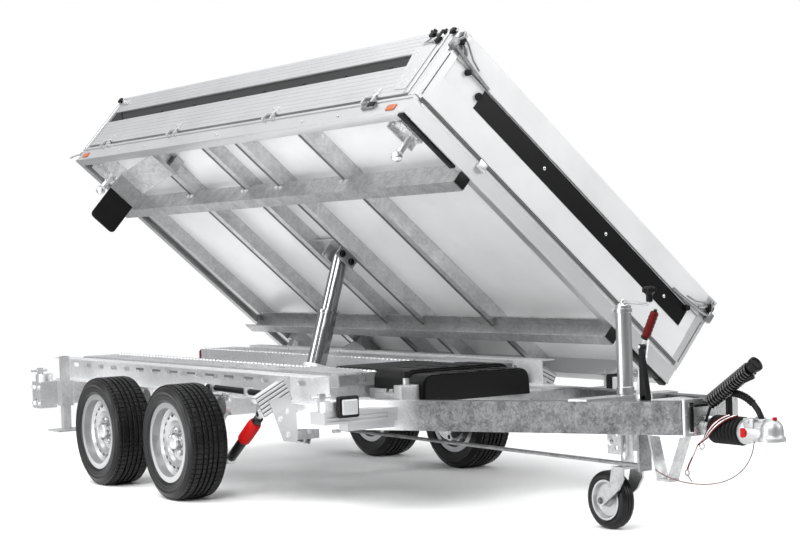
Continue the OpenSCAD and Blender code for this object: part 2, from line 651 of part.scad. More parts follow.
module bed_frame() color("silver") on_frame() tipped() {
  both_sides() {
    difference() {
      box(bed_rear + edge_set, bed_front - edge_set, half_w - edge_set - edge_t, half_w - edge_set, bed_z, floor_z);
      box(bed_rear, bed_front, half_w - edge_set - 5, half_w, bed_z + 22, bed_z + 34);
      box(bed_rear, bed_front, half_w - edge_set - 5, half_w, bed_z + 50, bed_z + 58);
    }
    for (x = side_hinges) translate([x, half_w, hinge_z]) ears();
  }
  for (x = [bed_rear + edge_set, bed_front - edge_set - edge_t])
    box(x, x + edge_t, -half_w + edge_set + edge_t, half_w - edge_set - edge_t, bed_z, floor_z);
  for (y = rear_hinges) translate([bed_rear, y, hinge_z]) rotate([0, 0, 90]) ears();
}

// Channels with their webs to the front, notched over the longitudinals
module bed_cross_members() color("silver") on_frame() tipped() for (x = cross_x)
  difference() {
    box(x - cross_w / 2, x + cross_w / 2, -half_w + edge_set + edge_t, half_w - edge_set - edge_t,
      cross_z, floor_z - floor_t);
    box(x - cross_w / 2 - 1, x + cross_w / 2 - 5, -half_w, half_w, cross_z + 5, floor_z - floor_t - 5);
    both_sides() box(bed_rear, bed_front, long_y - long_w / 2, long_y + long_w / 2, cross_z - 1, member_z);
  }

module bed_longitudinals() color("silver") on_frame() tipped() both_sides() difference() {
  box(bed_rear + edge_set + edge_t, bed_front - edge_set, long_y - long_w / 2, long_y + long_w / 2,
    member_z - long_h, member_z);
  box(bed_rear, bed_front + 1, long_y - long_w / 2 - 1, long_y + long_w / 2 - 6, member_z - long_h + 6, member_z - 6);
  box(bed_front - edge_set - edge_t, bed_front, 0, half_w, bed_z, member_z + 1);
}

// Stalks with the tipping balls, on a bracket under the edge
module bed_corner_pins() color("silver") on_frame() tipped() both_sides() for (x = pin_x) {
  difference() {
    union() {
      translate([x, pivot_y, pivot_z]) sphere(r = pivot_r);
      at_z(pin_stalk_r, pivot_z, member_z, x, pivot_y);
    }
    at_x(pin_bore_r, x - pivot_r - 1, x + pivot_r + 1, pivot_y, pivot_z);
  }
  box(x - 35, x + 35, pivot_y - 45, half_w - edge_set - edge_t, member_z - 24, member_z);
  box(x - 5, x + 5, pivot_y - 40, half_w - edge_set - edge_t, pivot_z + 62, member_z - 24);
  box(x - 35, x + 35, pivot_y - 45, half_w - edge_set - edge_t, member_z, floor_z - floor_t);
}

module cylinder_bracket() color("silver") on_frame() tipped() {
  pad = lift_top + lift_ball_r + 1;
  box(lift_x - lift_behind + cross_w / 2, lift_x + lift_ahead + cross_w / 2 - 5, -90, 90, pad, pad + 10);
  for (s = [-1, 1])
    box(lift_x + s * (cheek_in + cheek_t / 2) - cheek_t / 2, lift_x + s * (cheek_in + cheek_t / 2) + cheek_t / 2,
      -60, 60, lift_top - 40, pad);
}

module board_face(l) {
  difference() {
    box(-l / 2, l / 2, -board_t, 0, board_z, board_end);
    box(-l / 2 - 1, l / 2 + 1, -6, 1, bed_z + 280, bed_z + 350);
  }
}
module front_board() color("lightgray") on_frame() tipped()
  translate([bed_front, 0, 0]) rotate([0, 0, -90]) {
    board_face(bed_w - 2 * post_w);
    box(-half_w + post_w, half_w - post_w, -board_t - 12, -3, floor_z, board_z);
  }
module corner_posts() color("silver") on_frame() tipped() both_sides()
  for (x = [bed_rear, bed_front - post_w])
    box(x, x + post_w, half_w - post_w, half_w, floor_z, board_end);

// A bent sheet behind the wheel, hung from the floor by a block
module mud_guards() color("silver") on_frame() tipped() both_sides() {
  outer = half_w - edge_set - edge_t;
  box(guard_x - 64, guard_x, guard_y, outer, member_z - 31, member_z - 25);
  strip([guard_x - 50, member_z - 28], [guard_x - 260, member_z - 148], 5, guard_y + 1, outer - guard_y - 2);
  box(guard_x - 263, guard_x - 257, guard_y, outer, member_z - 240, member_z - 140);
  box(guard_x - 38, guard_x - 4, guard_y + 10, guard_y + 60, member_z - 28, floor_z - floor_t);
}
module mud_flaps() color("black") on_frame() tipped() both_sides()
  box(guard_x - 270, guard_x - 263, guard_y, half_w - edge_set - edge_t, member_z - 420, member_z - 170);

side_l = bed_l - 2 * post_w - 2 * board_gap;
side_mid = (bed_front + bed_rear) / 2;
module side_board() {
  translate([side_mid, half_w, 0]) board_face(side_l);
  for (x = side_hinges) translate([x, half_w, hinge_z]) knuckle();
}
module left_board() color("lightgray") on_frame() tipped() side_board();
module right_board() color("lightgray") on_frame() tipped() mirror([0, 1, 0]) side_board();
module rear_board() color("lightgray") on_frame() tipped() {
  translate([bed_rear, 0, 0]) rotate([0, 0, 90]) board_face(bed_w - 2 * post_w - 2 * board_gap);
  for (y = rear_hinges) translate([bed_rear, y, hinge_z]) rotate([0, 0, 90]) knuckle();
}

module cylinder_barrel() color("dimgray") on_frame() lifted() {
  difference() {
    at_z(barrel_r, barrel_bottom, barrel_top, 0, 0);
    at_z(stage_r + 3, barrel_bottom + 20, barrel_top - 24, 0, 0);
    at_z(stage_r + run_fit, barrel_bottom + 20, barrel_top + 1, 0, 0);
  }
  for (s = [0, 180]) rotate([0, 0, s]) at_x(trunnion_r, barrel_r - 4, cheek_in + cheek_t + 3, 0, 0);
}
module cylinder_stage() color("gainsboro") on_frame() lifted() difference() {
  union() {
    at_z(stage_r, stage_top - stage_l, stage_top, 0, 0);
    at_z(stage_r + 6, stage_top - 16, stage_top, 0, 0);
  }
  at_z(rod_r + 3, stage_top - stage_l + 14, stage_top - 22, 0, 0);
  at_z(rod_r + run_fit, stage_top - stage_l + 14, stage_top + 1, 0, 0);
}
module cylinder_rod() color("gainsboro") on_frame() lifted() {
  at_z(rod_r, len_up - rod_l, len_up - 4, 0, 0);
  translate([0, 0, len_up]) sphere(r = lift_ball_r);
}

main_rails();
inner_rails();
drawbar_beams();
cross_beams();
rear_beam();
corner_sockets();
front_supports();
axle_front();
axle_rear();
shock_absorbers();
rear_lamps();
marker_lamps();
pump_box();
pump_unit();
cylinder_cradle();
coupling_housing();
bellows();
coupling_head();
coupling_handle();
handbrake_lever();
handbrake_grip();
handbrake_strut();
brake_rod();
skid_strap();
jockey_bracket();
jockey_tube();
jockey_inner();
jockey_fork();
jockey_tyre();
jockey_rim();
leg_guides();
leg_left();
leg_right();
cable_coil();
breakaway_cable();
tyre_front_left();
tyre_front_right();
tyre_rear_left();
tyre_rear_right();
rim_front_left();
rim_front_right();
rim_rear_left();
rim_rear_right();
bed_floor();
bed_frame();
bed_cross_members();
bed_longitudinals();
bed_corner_pins();
cylinder_bracket();
front_board();
corner_posts();
mud_guards();
mud_flaps();
left_board();
right_board();
rear_board();
cylinder_barrel();
cylinder_stage();
cylinder_rod();
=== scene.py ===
"""Finish of the three-way tipper trailer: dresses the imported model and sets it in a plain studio."""

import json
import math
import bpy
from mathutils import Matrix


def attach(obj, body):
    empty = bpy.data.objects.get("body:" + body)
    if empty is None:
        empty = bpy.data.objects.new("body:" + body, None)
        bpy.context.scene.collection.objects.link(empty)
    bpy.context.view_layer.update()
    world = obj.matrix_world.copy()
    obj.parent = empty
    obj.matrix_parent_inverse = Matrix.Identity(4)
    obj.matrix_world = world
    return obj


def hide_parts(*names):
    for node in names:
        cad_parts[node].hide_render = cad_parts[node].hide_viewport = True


bl_info = {
    "name": "Three-way tipper trailer",
    "version": (1, 0, 0),
    "blender": (4, 5, 0),
    "location": "View3D > Sidebar > Tipper",
    "description": "Dresses a tandem-axle tipping trailer and sets up its studio",
    "category": "Object",
}

import bmesh
import bpy
from mathutils import Matrix, Vector

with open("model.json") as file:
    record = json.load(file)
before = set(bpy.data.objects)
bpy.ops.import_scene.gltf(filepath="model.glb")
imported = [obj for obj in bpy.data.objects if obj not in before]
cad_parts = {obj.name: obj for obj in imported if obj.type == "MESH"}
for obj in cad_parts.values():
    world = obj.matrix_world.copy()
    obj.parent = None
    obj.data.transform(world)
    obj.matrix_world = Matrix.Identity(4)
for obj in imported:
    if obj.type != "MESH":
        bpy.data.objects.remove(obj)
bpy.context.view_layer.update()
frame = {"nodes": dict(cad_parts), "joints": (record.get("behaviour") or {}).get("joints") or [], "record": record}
NODES = frame["nodes"]
JOINTS = {joint["name"]: joint for joint in frame["joints"]}

# Directions and sides, then the places of hinges, cross members and a front support arm
AHEAD, BACK, LEFT, UP = (1, 0, 0), (-1, 0, 0), (0, 1, 0), (0, 0, 1)
SIDES = (1.0, -1.0)
QUARTER = Matrix.Rotation(math.pi / 2, 4, "Z")
HINGES = (-1.23, -0.43, 0.56, 1.41)
REAR_HINGES = (-0.6, 0.0, 0.6)
MEMBERS = (-1.433, -0.692, -0.103, 0.237, 0.830)
ARM = Matrix.Translation((1.06, 0.600, 0.545)) @ Matrix.Rotation(math.radians(-26.6), 4, "X")
# Socket types of the node trees
FLOAT, VECTOR, WHOLE = "NodeSocketFloat", "NodeSocketVector", "NodeSocketInt"
THING, PAINT, SHAPE = "NodeSocketObject", "NodeSocketMaterial", "NodeSocketGeometry"
PALE_DUST = (0.30, 0.29, 0.28)


# Sizes and colours


def length(name, text, value):
    """A distance in metres that the sidebar shows."""
    return bpy.props.FloatProperty(
        name=name, description=text, default=value, precision=4, subtype="DISTANCE", unit="LENGTH"
    )


def angle(name, text, degrees):
    """An angle that the sidebar shows in degrees."""
    return bpy.props.FloatProperty(
        name=name, description=text, default=math.radians(degrees), subtype="ANGLE", unit="ROTATION"
    )


def colour(name, text, red, green, blue):
    """A linear colour that the sidebar shows as a swatch."""
    return bpy.props.FloatVectorProperty(
        name=name, description=text, default=(red, green, blue), size=3, min=0.0, max=1.0, subtype="COLOR"
    )


class TipperSizes(bpy.types.PropertyGroup):
    """Sizes as in the part: X from the middle of the axles, Z from the ground, the bed lowered."""

    reach: length("Reach", "From the middle of the axles to the hitch ball", 3.29)
    ball_height: length("Ball height", "Height of the hitch ball above the ground", 0.43)
    tip: angle("Tip", "How far the bed is tipped to its left", -JOINTS["bed_tip"]["range_deg"][0])
    pivot_side: length("Pivot side", "Tipping balls to the centre plane", 0.75)
    pivot_height: length("Pivot height", "Tipping balls above the ground", 0.5)
    bed_front: length("Bed front", "Front end of the bed", 1.745)
    bed_rear: length("Bed rear", "Rear end of the bed", -1.535)
    bed_half: length("Bed half width", "Outer face of a side board to the centre plane", 0.91)
    bed_low: length("Bed low", "Lower edge of the lowered bed, the edge profile's foot", 0.589)
    edge_height: length("Edge height", "Height of the edge profile", 0.094)
    board_low: length("Board low", "Lower edge of the boards above the foot", 0.106)
    board_high: length("Board high", "Upper edge of the boards above the foot", 0.465)
    board_thick: length("Board thickness", "Thickness of a board", 0.025)
    stripe_low: length("Stripe low", "Lower edge of the black band above the foot", 0.28)
    stripe_high: length("Stripe high", "Upper edge of the black band above the foot", 0.35)
    post: length("Post", "Width of a corner post", 0.06)
    board_gap: length("Board gap", "Gap between a board and a post", 0.005)
    tyre_radius: length("Tyre radius", "Outer radius of a tyre", 0.2625)
    tyre_width: length("Tyre width", "Width of a tyre across its sidewalls", 0.195)
    wheel_side: length("Wheel side", "Wheel centre to the centre plane", 0.791)
    axle_x: length("Axle", "Each axle from the middle of the two", 0.385)
    jockey_x: length("Jockey", "Jockey column ahead of the axles' middle", 2.53)
    jockey_trail: length("Jockey trail", "How far the jockey wheel trails its column", 0.105)
    jockey_radius: length("Jockey radius", "Radius of the jockey wheel", 0.1125)


class TipperColours(bpy.types.PropertyGroup):
    """Linear colours of the finishes."""

    zinc_dark: colour("Zinc dark", "Dull patches of the hot-dip zinc", 0.50, 0.505, 0.51)
    zinc_light: colour("Zinc light", "Bright patches of the hot-dip zinc", 0.72, 0.725, 0.73)
    mottled_dark: colour("Mottled dark", "Dull patches of the drawbar", 0.055, 0.057, 0.059)
    mottled_light: colour("Mottled light", "Bright patches of the drawbar", 0.21, 0.213, 0.216)
    aluminium: colour("Aluminium", "Boards and edge profiles", 0.56, 0.565, 0.57)
    sheet: colour("Bed sheet", "Underside of the bed floor", 0.93, 0.935, 0.94)
    wheel: colour("Wheel silver", "Lacquer of the rims", 0.44, 0.444, 0.448)
    black: colour("Black", "Bands, hood and knobs", 0.003, 0.003, 0.0033)
    rubber: colour("Rubber", "Tyres and flaps", 0.004, 0.004, 0.0043)
    red: colour("Red", "Brake grip and damper sleeve", 0.58, 0.004, 0.004)
    amber: colour("Amber", "Side reflectors", 0.40, 0.075, 0.005)
    backdrop: colour("Backdrop", "Studio floor", 0.97, 0.97, 0.97)


def sizes():
    return bpy.context.scene.tipper_sizes


def colours():
    return bpy.context.scene.tipper_colours


def on_ground():
    """From the ground under the axles' middle to the hitch ball's frame."""
    s = sizes()
    return Matrix.Translation((-s.reach, 0.0, -s.ball_height))


def on_bed():
    """From the lowered bed to the tipped one, in the hitch ball's frame."""
    s = sizes()
    pivot = Matrix.Translation((0.0, s.pivot_side, s.pivot_height))
    return on_ground() @ pivot @ Matrix.Rotation(-s.tip, 4, "X") @ pivot.inverted()


def bed_at(x=0.0):
    """Like on_bed, with X counted from x and Z from the edge profile's foot."""
    return on_bed() @ Matrix.Translation((x, 0.0, sizes().bed_low))


def mirrored(side):
    """Mirrors the left side's shapes to the right side for a side of -1."""
    return Matrix.Diagonal((1.0, side, 1.0, 1.0))


# Shader node groups shared by the finishes


def node_group(name, inputs, outputs):
    """An empty shader group: inputs are (name, socket type, default), outputs (name, socket type)."""
    tree = bpy.data.node_groups.new(name, "ShaderNodeTree")
    for label, kind, value in inputs:
        socket = tree.interface.new_socket(label, in_out="INPUT", socket_type=kind)
        socket.default_value = value
    for label, kind in outputs:
        tree.interface.new_socket(label, in_out="OUTPUT", socket_type=kind)
    return tree, tree.nodes.new("NodeGroupInput"), tree.nodes.new("NodeGroupOutput")


def add(tree, kind, **settings):
    """A node with its properties set; a key that starts with in_ sets an input by name."""
    node = tree.nodes.new(kind)
    for key, value in settings.items():
        if key.startswith("in_"):
            node.inputs[key[3:].replace("_", " ")].default_value = value
        else:
            setattr(node, key, value)
    return node


def wire(tree, *links):
    """Joins sockets: each link is (node, output, node, input), by name or number."""
    for source, leaving, target, entering in links:
        tree.links.new(source.outputs[leaving], target.inputs[entering])


def math_node(tree, operation, first, second):
    """A Math node on sockets or numbers."""
    node = add(tree, "ShaderNodeMath", operation=operation)
    for index, value in enumerate((first, second)):
        if isinstance(value, bpy.types.NodeSocket):
            tree.links.new(value, node.inputs[index])
        else:
            node.inputs[index].default_value = value
    return node.outputs[0]


def spangle_group():
    """Hot-dip zinc: crystal patches over slow cloudy stains."""
    tree, inp, out = node_group(
        "Zinc spangle",
        [("Crystal scale", FLOAT, 38.0), ("Cloud scale", FLOAT, 7.0)],
        [("Tone", FLOAT), ("Height", FLOAT)],
    )
    place = add(tree, "ShaderNodeTexCoord")
    warp = add(tree, "ShaderNodeTexNoise", in_Scale=22.0, in_Detail=2.0)
    shift = add(tree, "ShaderNodeVectorMath", operation="MULTIPLY_ADD")
    shift.inputs[1].default_value = (0.03, 0.03, 0.03)
    crystal = add(tree, "ShaderNodeTexVoronoi", feature="F1")
    cloud = add(tree, "ShaderNodeTexNoise", in_Detail=4.0, in_Roughness=0.62)
    split = add(tree, "ShaderNodeSeparateColor")
    spread = add(tree, "ShaderNodeMapRange", in_From_Min=0.32, in_From_Max=0.68)
    wire(
        tree,
        (place, "Object", warp, "Vector"),
        (warp, "Color", shift, 0),
        (place, "Object", shift, 2),
        (shift, 0, crystal, "Vector"),
        (inp, "Crystal scale", crystal, "Scale"),
        (place, "Object", cloud, "Vector"),
        (inp, "Cloud scale", cloud, "Scale"),
        (crystal, "Color", split, 0),
        (cloud, "Fac", spread, "Value"),
        (split, 1, out, "Height"),
    )
    patches = math_node(tree, "MULTIPLY", split.outputs[0], 0.45)
    stains = math_node(tree, "MULTIPLY", spread.outputs["Result"], 0.55)
    tree.links.new(math_node(tree, "ADD", patches, stains), out.inputs["Tone"])


def grain_group():
    """Drawn lines of an extrusion: noise stretched along one direction of the bed."""
    tree, inp, out = node_group(
        "Drawn grain",
        [("Turn", VECTOR, (0.0, 0.0, 0.0)), ("Stretch", VECTOR, (2.0, 300.0, 300.0))],
        [("Lines", FLOAT), ("Stain", FLOAT)],
    )
    place = add(tree, "ShaderNodeTexCoord")
    turn = add(tree, "ShaderNodeMapping")
    lines = add(tree, "ShaderNodeTexNoise", in_Scale=1.0, in_Detail=3.0)
    stain = add(tree, "ShaderNodeTexNoise", in_Scale=3.2, in_Detail=5.0, in_Roughness=0.6)
    wire(
        tree,
        (place, "Object", turn, "Vector"),
        (inp, "Turn", turn, "Rotation"),
        (inp, "Stretch", turn, "Scale"),
        (turn, "Vector", lines, "Vector"),
        (place, "Object", stain, "Vector"),
        (lines, "Fac", out, "Lines"),
        (stain, "Fac", out, "Stain"),
    )


def dust_group():
    """Fine dust and scuffs: a speckled mask that is thicker in patches."""
    tree, inp, out = node_group(
        "Dust and scuffs",
        [("Amount", FLOAT, 0.3), ("Fine scale", FLOAT, 240.0)],
        [("Mask", FLOAT), ("Height", FLOAT)],
    )
    place = add(tree, "ShaderNodeTexCoord")
    fine = add(tree, "ShaderNodeTexNoise", in_Detail=3.0, in_Roughness=0.7)
    patch = add(tree, "ShaderNodeTexNoise", in_Scale=4.5, in_Detail=3.0)
    wire(
        tree,
        (place, "Object", fine, "Vector"),
        (inp, "Fine scale", fine, "Scale"),
        (place, "Object", patch, "Vector"),
        (fine, "Fac", out, "Height"),
    )
    speckle = math_node(tree, "MULTIPLY", fine.outputs["Fac"], patch.outputs["Fac"])
    tree.links.new(math_node(tree, "MULTIPLY", speckle, inp.outputs["Amount"]), out.inputs["Mask"])


# Finishes


def new_finish(name):
    """A material with only its Principled shader: returns its tree and the shader."""
    finish = bpy.data.materials.new(name)
    finish.use_nodes = True
    return finish.node_tree, finish.node_tree.nodes["Principled BSDF"]


def place_group(tree, name, **values):
    """One of the shared groups with its own input values."""
    node = tree.nodes.new("ShaderNodeGroup")
    node.node_tree = bpy.data.node_groups[name]
    for key, value in values.items():
        node.inputs[key.replace("_", " ")].default_value = value
    return node


def mix_colours(tree, factor, dark, light):
    """A colour between dark and light, by a mask."""
    node = add(tree, "ShaderNodeMix", data_type="RGBA")
    tree.links.new(factor, node.inputs["Factor"])
    node.inputs["A"].default_value = (*dark, 1.0)
    node.inputs["B"].default_value = (*light, 1.0)
    return node.outputs["Result"]


def scale_colour(base, factor):
    return tuple(min(1.0, channel * factor) for channel in base)


def toned(base, *factors):
    """A colour made darker and lighter by two factors."""
    return tuple(scale_colour(base, factor) for factor in factors)


def ranged(tree, value, low, high):
    """A mask of 0 to 1 stretched to low and high."""
    node = add(tree, "ShaderNodeMapRange", in_To_Min=low, in_To_Max=high)
    tree.links.new(value, node.inputs["Value"])
    return node.outputs["Result"]


def bump(tree, shader, height, strength, distance):
    node = add(tree, "ShaderNodeBump", in_Strength=strength, in_Distance=distance)
    tree.links.new(height, node.inputs["Height"])
    tree.links.new(node.outputs["Normal"], shader.inputs["Normal"])


def zinc_finish(name, tones, crystal, cloud, rough, metallic=0.85, painted_reflection=None, pits=0.05):
    """Hot-dip zinc, with an optional painted lamp reflection: a brighter zinc colour below a (bright, dull) range
    along X that fades out across it.
    """
    tree, shader = new_finish(name)
    zinc = place_group(tree, "Zinc spangle", Crystal_scale=crystal, Cloud_scale=cloud)
    tone = mix_colours(tree, zinc.outputs["Tone"], *tones)
    # Painted reflection: a brighter zinc colour at low X, fading out across the given range, stands in for a
    # lamp's reflection.
    if painted_reflection:
        place = add(tree, "ShaderNodeTexCoord")
        split = add(tree, "ShaderNodeSeparateXYZ")
        fade = add(tree, "ShaderNodeMapRange", interpolation_type="SMOOTHSTEP")
        fade.inputs["From Min"].default_value, fade.inputs["From Max"].default_value = painted_reflection
        blend = add(tree, "ShaderNodeMix", data_type="RGBA")
        blend.inputs["A"].default_value = (*scale_colour(colours().zinc_light, 1.35), 1.0)
        wire(
            tree,
            (place, "Object", split, 0),
            (split, "X", fade, "Value"),
            (fade, "Result", blend, "Factor"),
        )
        tree.links.new(tone, blend.inputs["B"])
        tone = blend.outputs["Result"]
    tree.links.new(tone, shader.inputs["Base Color"])
    gloss = ranged(tree, zinc.outputs["Tone"], rough + 0.12, rough - 0.08)
    tree.links.new(gloss, shader.inputs["Roughness"])
    shader.inputs["Metallic"].default_value = metallic
    bump(tree, shader, zinc.outputs["Height"], pits, 0.0006)


def drawn_finish(name, base, turn, stretch, rough=0.36, metallic=0.8):
    """Drawn or rolled metal; stretch is fine across the lines and small along them."""
    tree, shader = new_finish(name)
    grain = place_group(tree, "Drawn grain", Turn=(turn, 0.0, 0.0), Stretch=stretch)
    tone = mix_colours(tree, grain.outputs["Stain"], *toned(base, 0.86, 1.12))
    tree.links.new(tone, shader.inputs["Base Color"])
    gloss = ranged(tree, grain.outputs["Lines"], rough - 0.08, rough + 0.12)
    tree.links.new(gloss, shader.inputs["Roughness"])
    shader.inputs["Metallic"].default_value = metallic
    bump(tree, shader, grain.outputs["Lines"], 0.10, 0.0004)


def moulded_finish(name, base, rough, dust, fine=240.0, pale=PALE_DUST, shine=0.5, coat=0.0, metallic=0.0):
    """Plastic, rubber or lacquer with dust in its pores."""
    tree, shader = new_finish(name)
    specks = place_group(tree, "Dust and scuffs", Amount=dust, Fine_scale=fine)
    tree.links.new(mix_colours(tree, specks.outputs["Mask"], base, pale), shader.inputs["Base Color"])
    gloss = ranged(tree, specks.outputs["Height"], rough - 0.08, rough + 0.08)
    tree.links.new(gloss, shader.inputs["Roughness"])
    shader.inputs["Coat Weight"].default_value = coat
    shader.inputs["Specular IOR Level"].default_value = shine
    shader.inputs["Metallic"].default_value = metallic
    bump(tree, shader, specks.outputs["Height"], 0.14, 0.0005)


def lens_finish(name, base, clear):
    """Lamp plastic with a fine moulded pattern behind a smooth face."""
    tree, shader = new_finish(name)
    place = add(tree, "ShaderNodeTexCoord")
    cells = add(tree, "ShaderNodeTexVoronoi", feature="F1", in_Scale=260.0)
    wire(tree, (place, "Object", cells, "Vector"))
    tone = mix_colours(tree, cells.outputs["Distance"], *toned(base, 1.1, 0.85))
    tree.links.new(tone, shader.inputs["Base Color"])
    shader.inputs["Roughness"].default_value = 0.12
    shader.inputs["Coat Weight"].default_value = clear
    bump(tree, shader, cells.outputs["Distance"], 0.12, 0.0006)


class TIPPER_OT_finishes(bpy.types.Operator):
    """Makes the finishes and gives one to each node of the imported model"""

    bl_idname = "tipper.finishes"
    bl_label = "Finishes"

    def execute(self, context):
        spangle_group()
        grain_group()
        dust_group()
        self.metals()
        self.plastics()
        self.give()
        return {"FINISHED"}

    def metals(self):
        """Hot-dip zinc, castings, and drawn, rolled and polished metal."""
        c, s = colours(), sizes()
        zinc = c.zinc_light
        # Span along X over which the painted lamp reflection on the drawbar fades out.
        reflection_span = tuple(x - s.reach for x in (1.45, 1.80))
        dull = scale_colour(c.zinc_dark, 0.62), scale_colour(zinc, 0.72)
        mottled = scale_colour(c.mottled_dark, 0.86), scale_colour(c.mottled_light, 0.86)
        chrome = (0.46, 0.465, 0.47), (0.58, 0.585, 0.59)
        latch = (0.16, 0.16, 0.165), (0.34, 0.34, 0.345)
        zinc_finish("Galvanised", (c.zinc_dark, zinc), crystal=75.0, cloud=12.0, rough=0.34)
        zinc_finish("Galvanised dull", dull, crystal=75.0, cloud=12.0, rough=0.36)
        zinc_finish("Mottled zinc", mottled, crystal=120.0, cloud=17.0, rough=0.46, metallic=0.7, painted_reflection=reflection_span)
        zinc_finish("Galvanised bright", toned(zinc, 0.88, 1.12), crystal=110.0, cloud=8.0, rough=0.30)
        # Painted light: a brighter copy of the zinc that lifts the shaded side of the main rails.
        pale = toned(zinc, 1.1, 1.35)
        zinc_finish("Galvanised lit", pale, crystal=80.0, cloud=9.0, rough=0.34, metallic=0.72)
        zinc_finish("Cast alloy", toned(zinc, 0.50, 0.68), crystal=190.0, cloud=14.0, rough=0.42)
        zinc_finish("Chrome rod", chrome, crystal=30.0, cloud=4.0, rough=0.14, metallic=1.0, pits=0.01)
        zinc_finish("Latch grey", latch, crystal=120.0, cloud=20.0, rough=0.36)
        lean, tip = -0.298, s.tip
        drawn_finish("Polished steel", (0.34, 0.345, 0.35), lean, (90.0, 90.0, 1.0), rough=0.11, metallic=1.0)
        brushed = scale_colour(zinc, 0.72)
        drawn_finish("Brushed zinc", brushed, 0.0, (260.0, 260.0, 3.0), rough=0.28, metallic=0.95)
        drawn_finish("Aluminium along", c.aluminium, 0.0, (2.0, 300.0, 300.0))
        drawn_finish("Aluminium across", c.aluminium, tip, (300.0, 2.0, 300.0))
        drawn_finish("Aluminium upright", c.aluminium, tip, (300.0, 300.0, 2.0))
        drawn_finish("Bed sheet", c.sheet, 0.0, (6.0, 40.0, 40.0), rough=0.34, metallic=0.35)
        white = scale_colour(c.sheet, 0.67)
        drawn_finish("White board", white, tip, (40.0, 3.0, 40.0), rough=0.38, metallic=0.2)

    def plastics(self):
        """Lacquer, plastic, rubber, paint and lenses; the two bare numbers are roughness and dust."""
        c = colours()
        silver = (0.45, 0.45, 0.45)
        moulded_finish("Wheel silver", c.wheel, 0.30, 0.10, fine=400.0, pale=silver, coat=0.2, metallic=0.75)
        moulded_finish("Black band", c.black, 0.30, 0.01, fine=300.0, shine=0.18)
        moulded_finish("Dark band", scale_colour(c.black, 2.5), 0.42, 0.03, fine=200.0, shine=0.18)
        moulded_finish("Black plastic", c.black, 0.42, 0.02, shine=0.16)
        moulded_finish("Black rubber", c.rubber, 0.55, 0.03, shine=0.14)
        moulded_finish("Cable black", c.black, 0.16, 0.02, shine=0.6)
        moulded_finish("Tyre rubber", c.rubber, 0.33, 0.03, fine=160.0, shine=0.22)
        grip, wires = scale_colour(c.red, 0.6), scale_colour(c.red, 0.13)
        moulded_finish("Red plastic", grip, 0.42, 0.02, fine=300.0, pale=(0.75, 0.2, 0.18), shine=0.12)
        moulded_finish("Dark red", wires, 0.40, 0.02, fine=300.0, pale=(0.6, 0.2, 0.18), shine=0.12)
        moulded_finish("Cable sheath", (0.13, 0.06, 0.06), 0.4, 0.05)
        moulded_finish("Black paint", c.black, 0.30, 0.03, fine=300.0, shine=0.35)
        # Dark grey for seams and bolts, also used as painted shade in gaps, slots and under the cross members.
        moulded_finish("Seam and shade grey", (0.09, 0.09, 0.092), 0.5, 0.12, fine=500.0)
        lens_finish("Amber lens", c.amber, 0.6)
        lens_finish("Clear lens", (0.42, 0.43, 0.44), 0.8)
        lens_finish("Red lens", (0.55, 0.015, 0.012), 0.6)

    def give(self):
        """Gives each node the finish of its material slot, or its own."""
        by_slot = {
            "galvanised": "Galvanised",
            "aluminium": "Aluminium along",
            "chrome": "Polished steel",
            "black_steel": "Black paint",
            "black_plastic": "Black plastic",
            "red_plastic": "Red plastic",
            "red_paint": "Red plastic",
            "lamp": "Red lens",
            "white_lens": "Clear lens",
            "cast": "Cast alloy",
            "rubber": "Black rubber",
            "tyre": "Tyre rubber",
            "wheel_silver": "Wheel silver",
        }
        special = {
            "bed_floor": "Bed sheet",
            "drawbar_beams": "Mottled zinc",
            # The main rails take the brightened zinc copy, painted light.
            "main_rails": "Galvanised lit",
            "brake_rod": "Latch grey",
        }
        for node in ("jockey_bracket", "skid_strap", "jockey_fork", "mud_guards", "bed_longitudinals"):
            special[node] = "Galvanised dull"
        for node in ("coupling_housing", "handbrake_lever", "bed_corner_pins", "inner_rails", "rear_beam"):
            special[node] = "Galvanised bright"
        for node in ("axle_front", "axle_rear"):
            special[node] = "Galvanised bright"
        for part in frame["record"]["subparts"]:
            slots = NODES[part["node"]].data.materials
            slots.clear()
            slots.append(bpy.data.materials[special.get(part["node"], by_slot[part["material_slot"]])])


# Mesh making


def circle(steps):
    """Points round a circle of radius 1."""
    turns = [2 * math.pi * k / steps for k in range(steps)]
    return [(math.cos(turn), math.sin(turn)) for turn in turns]


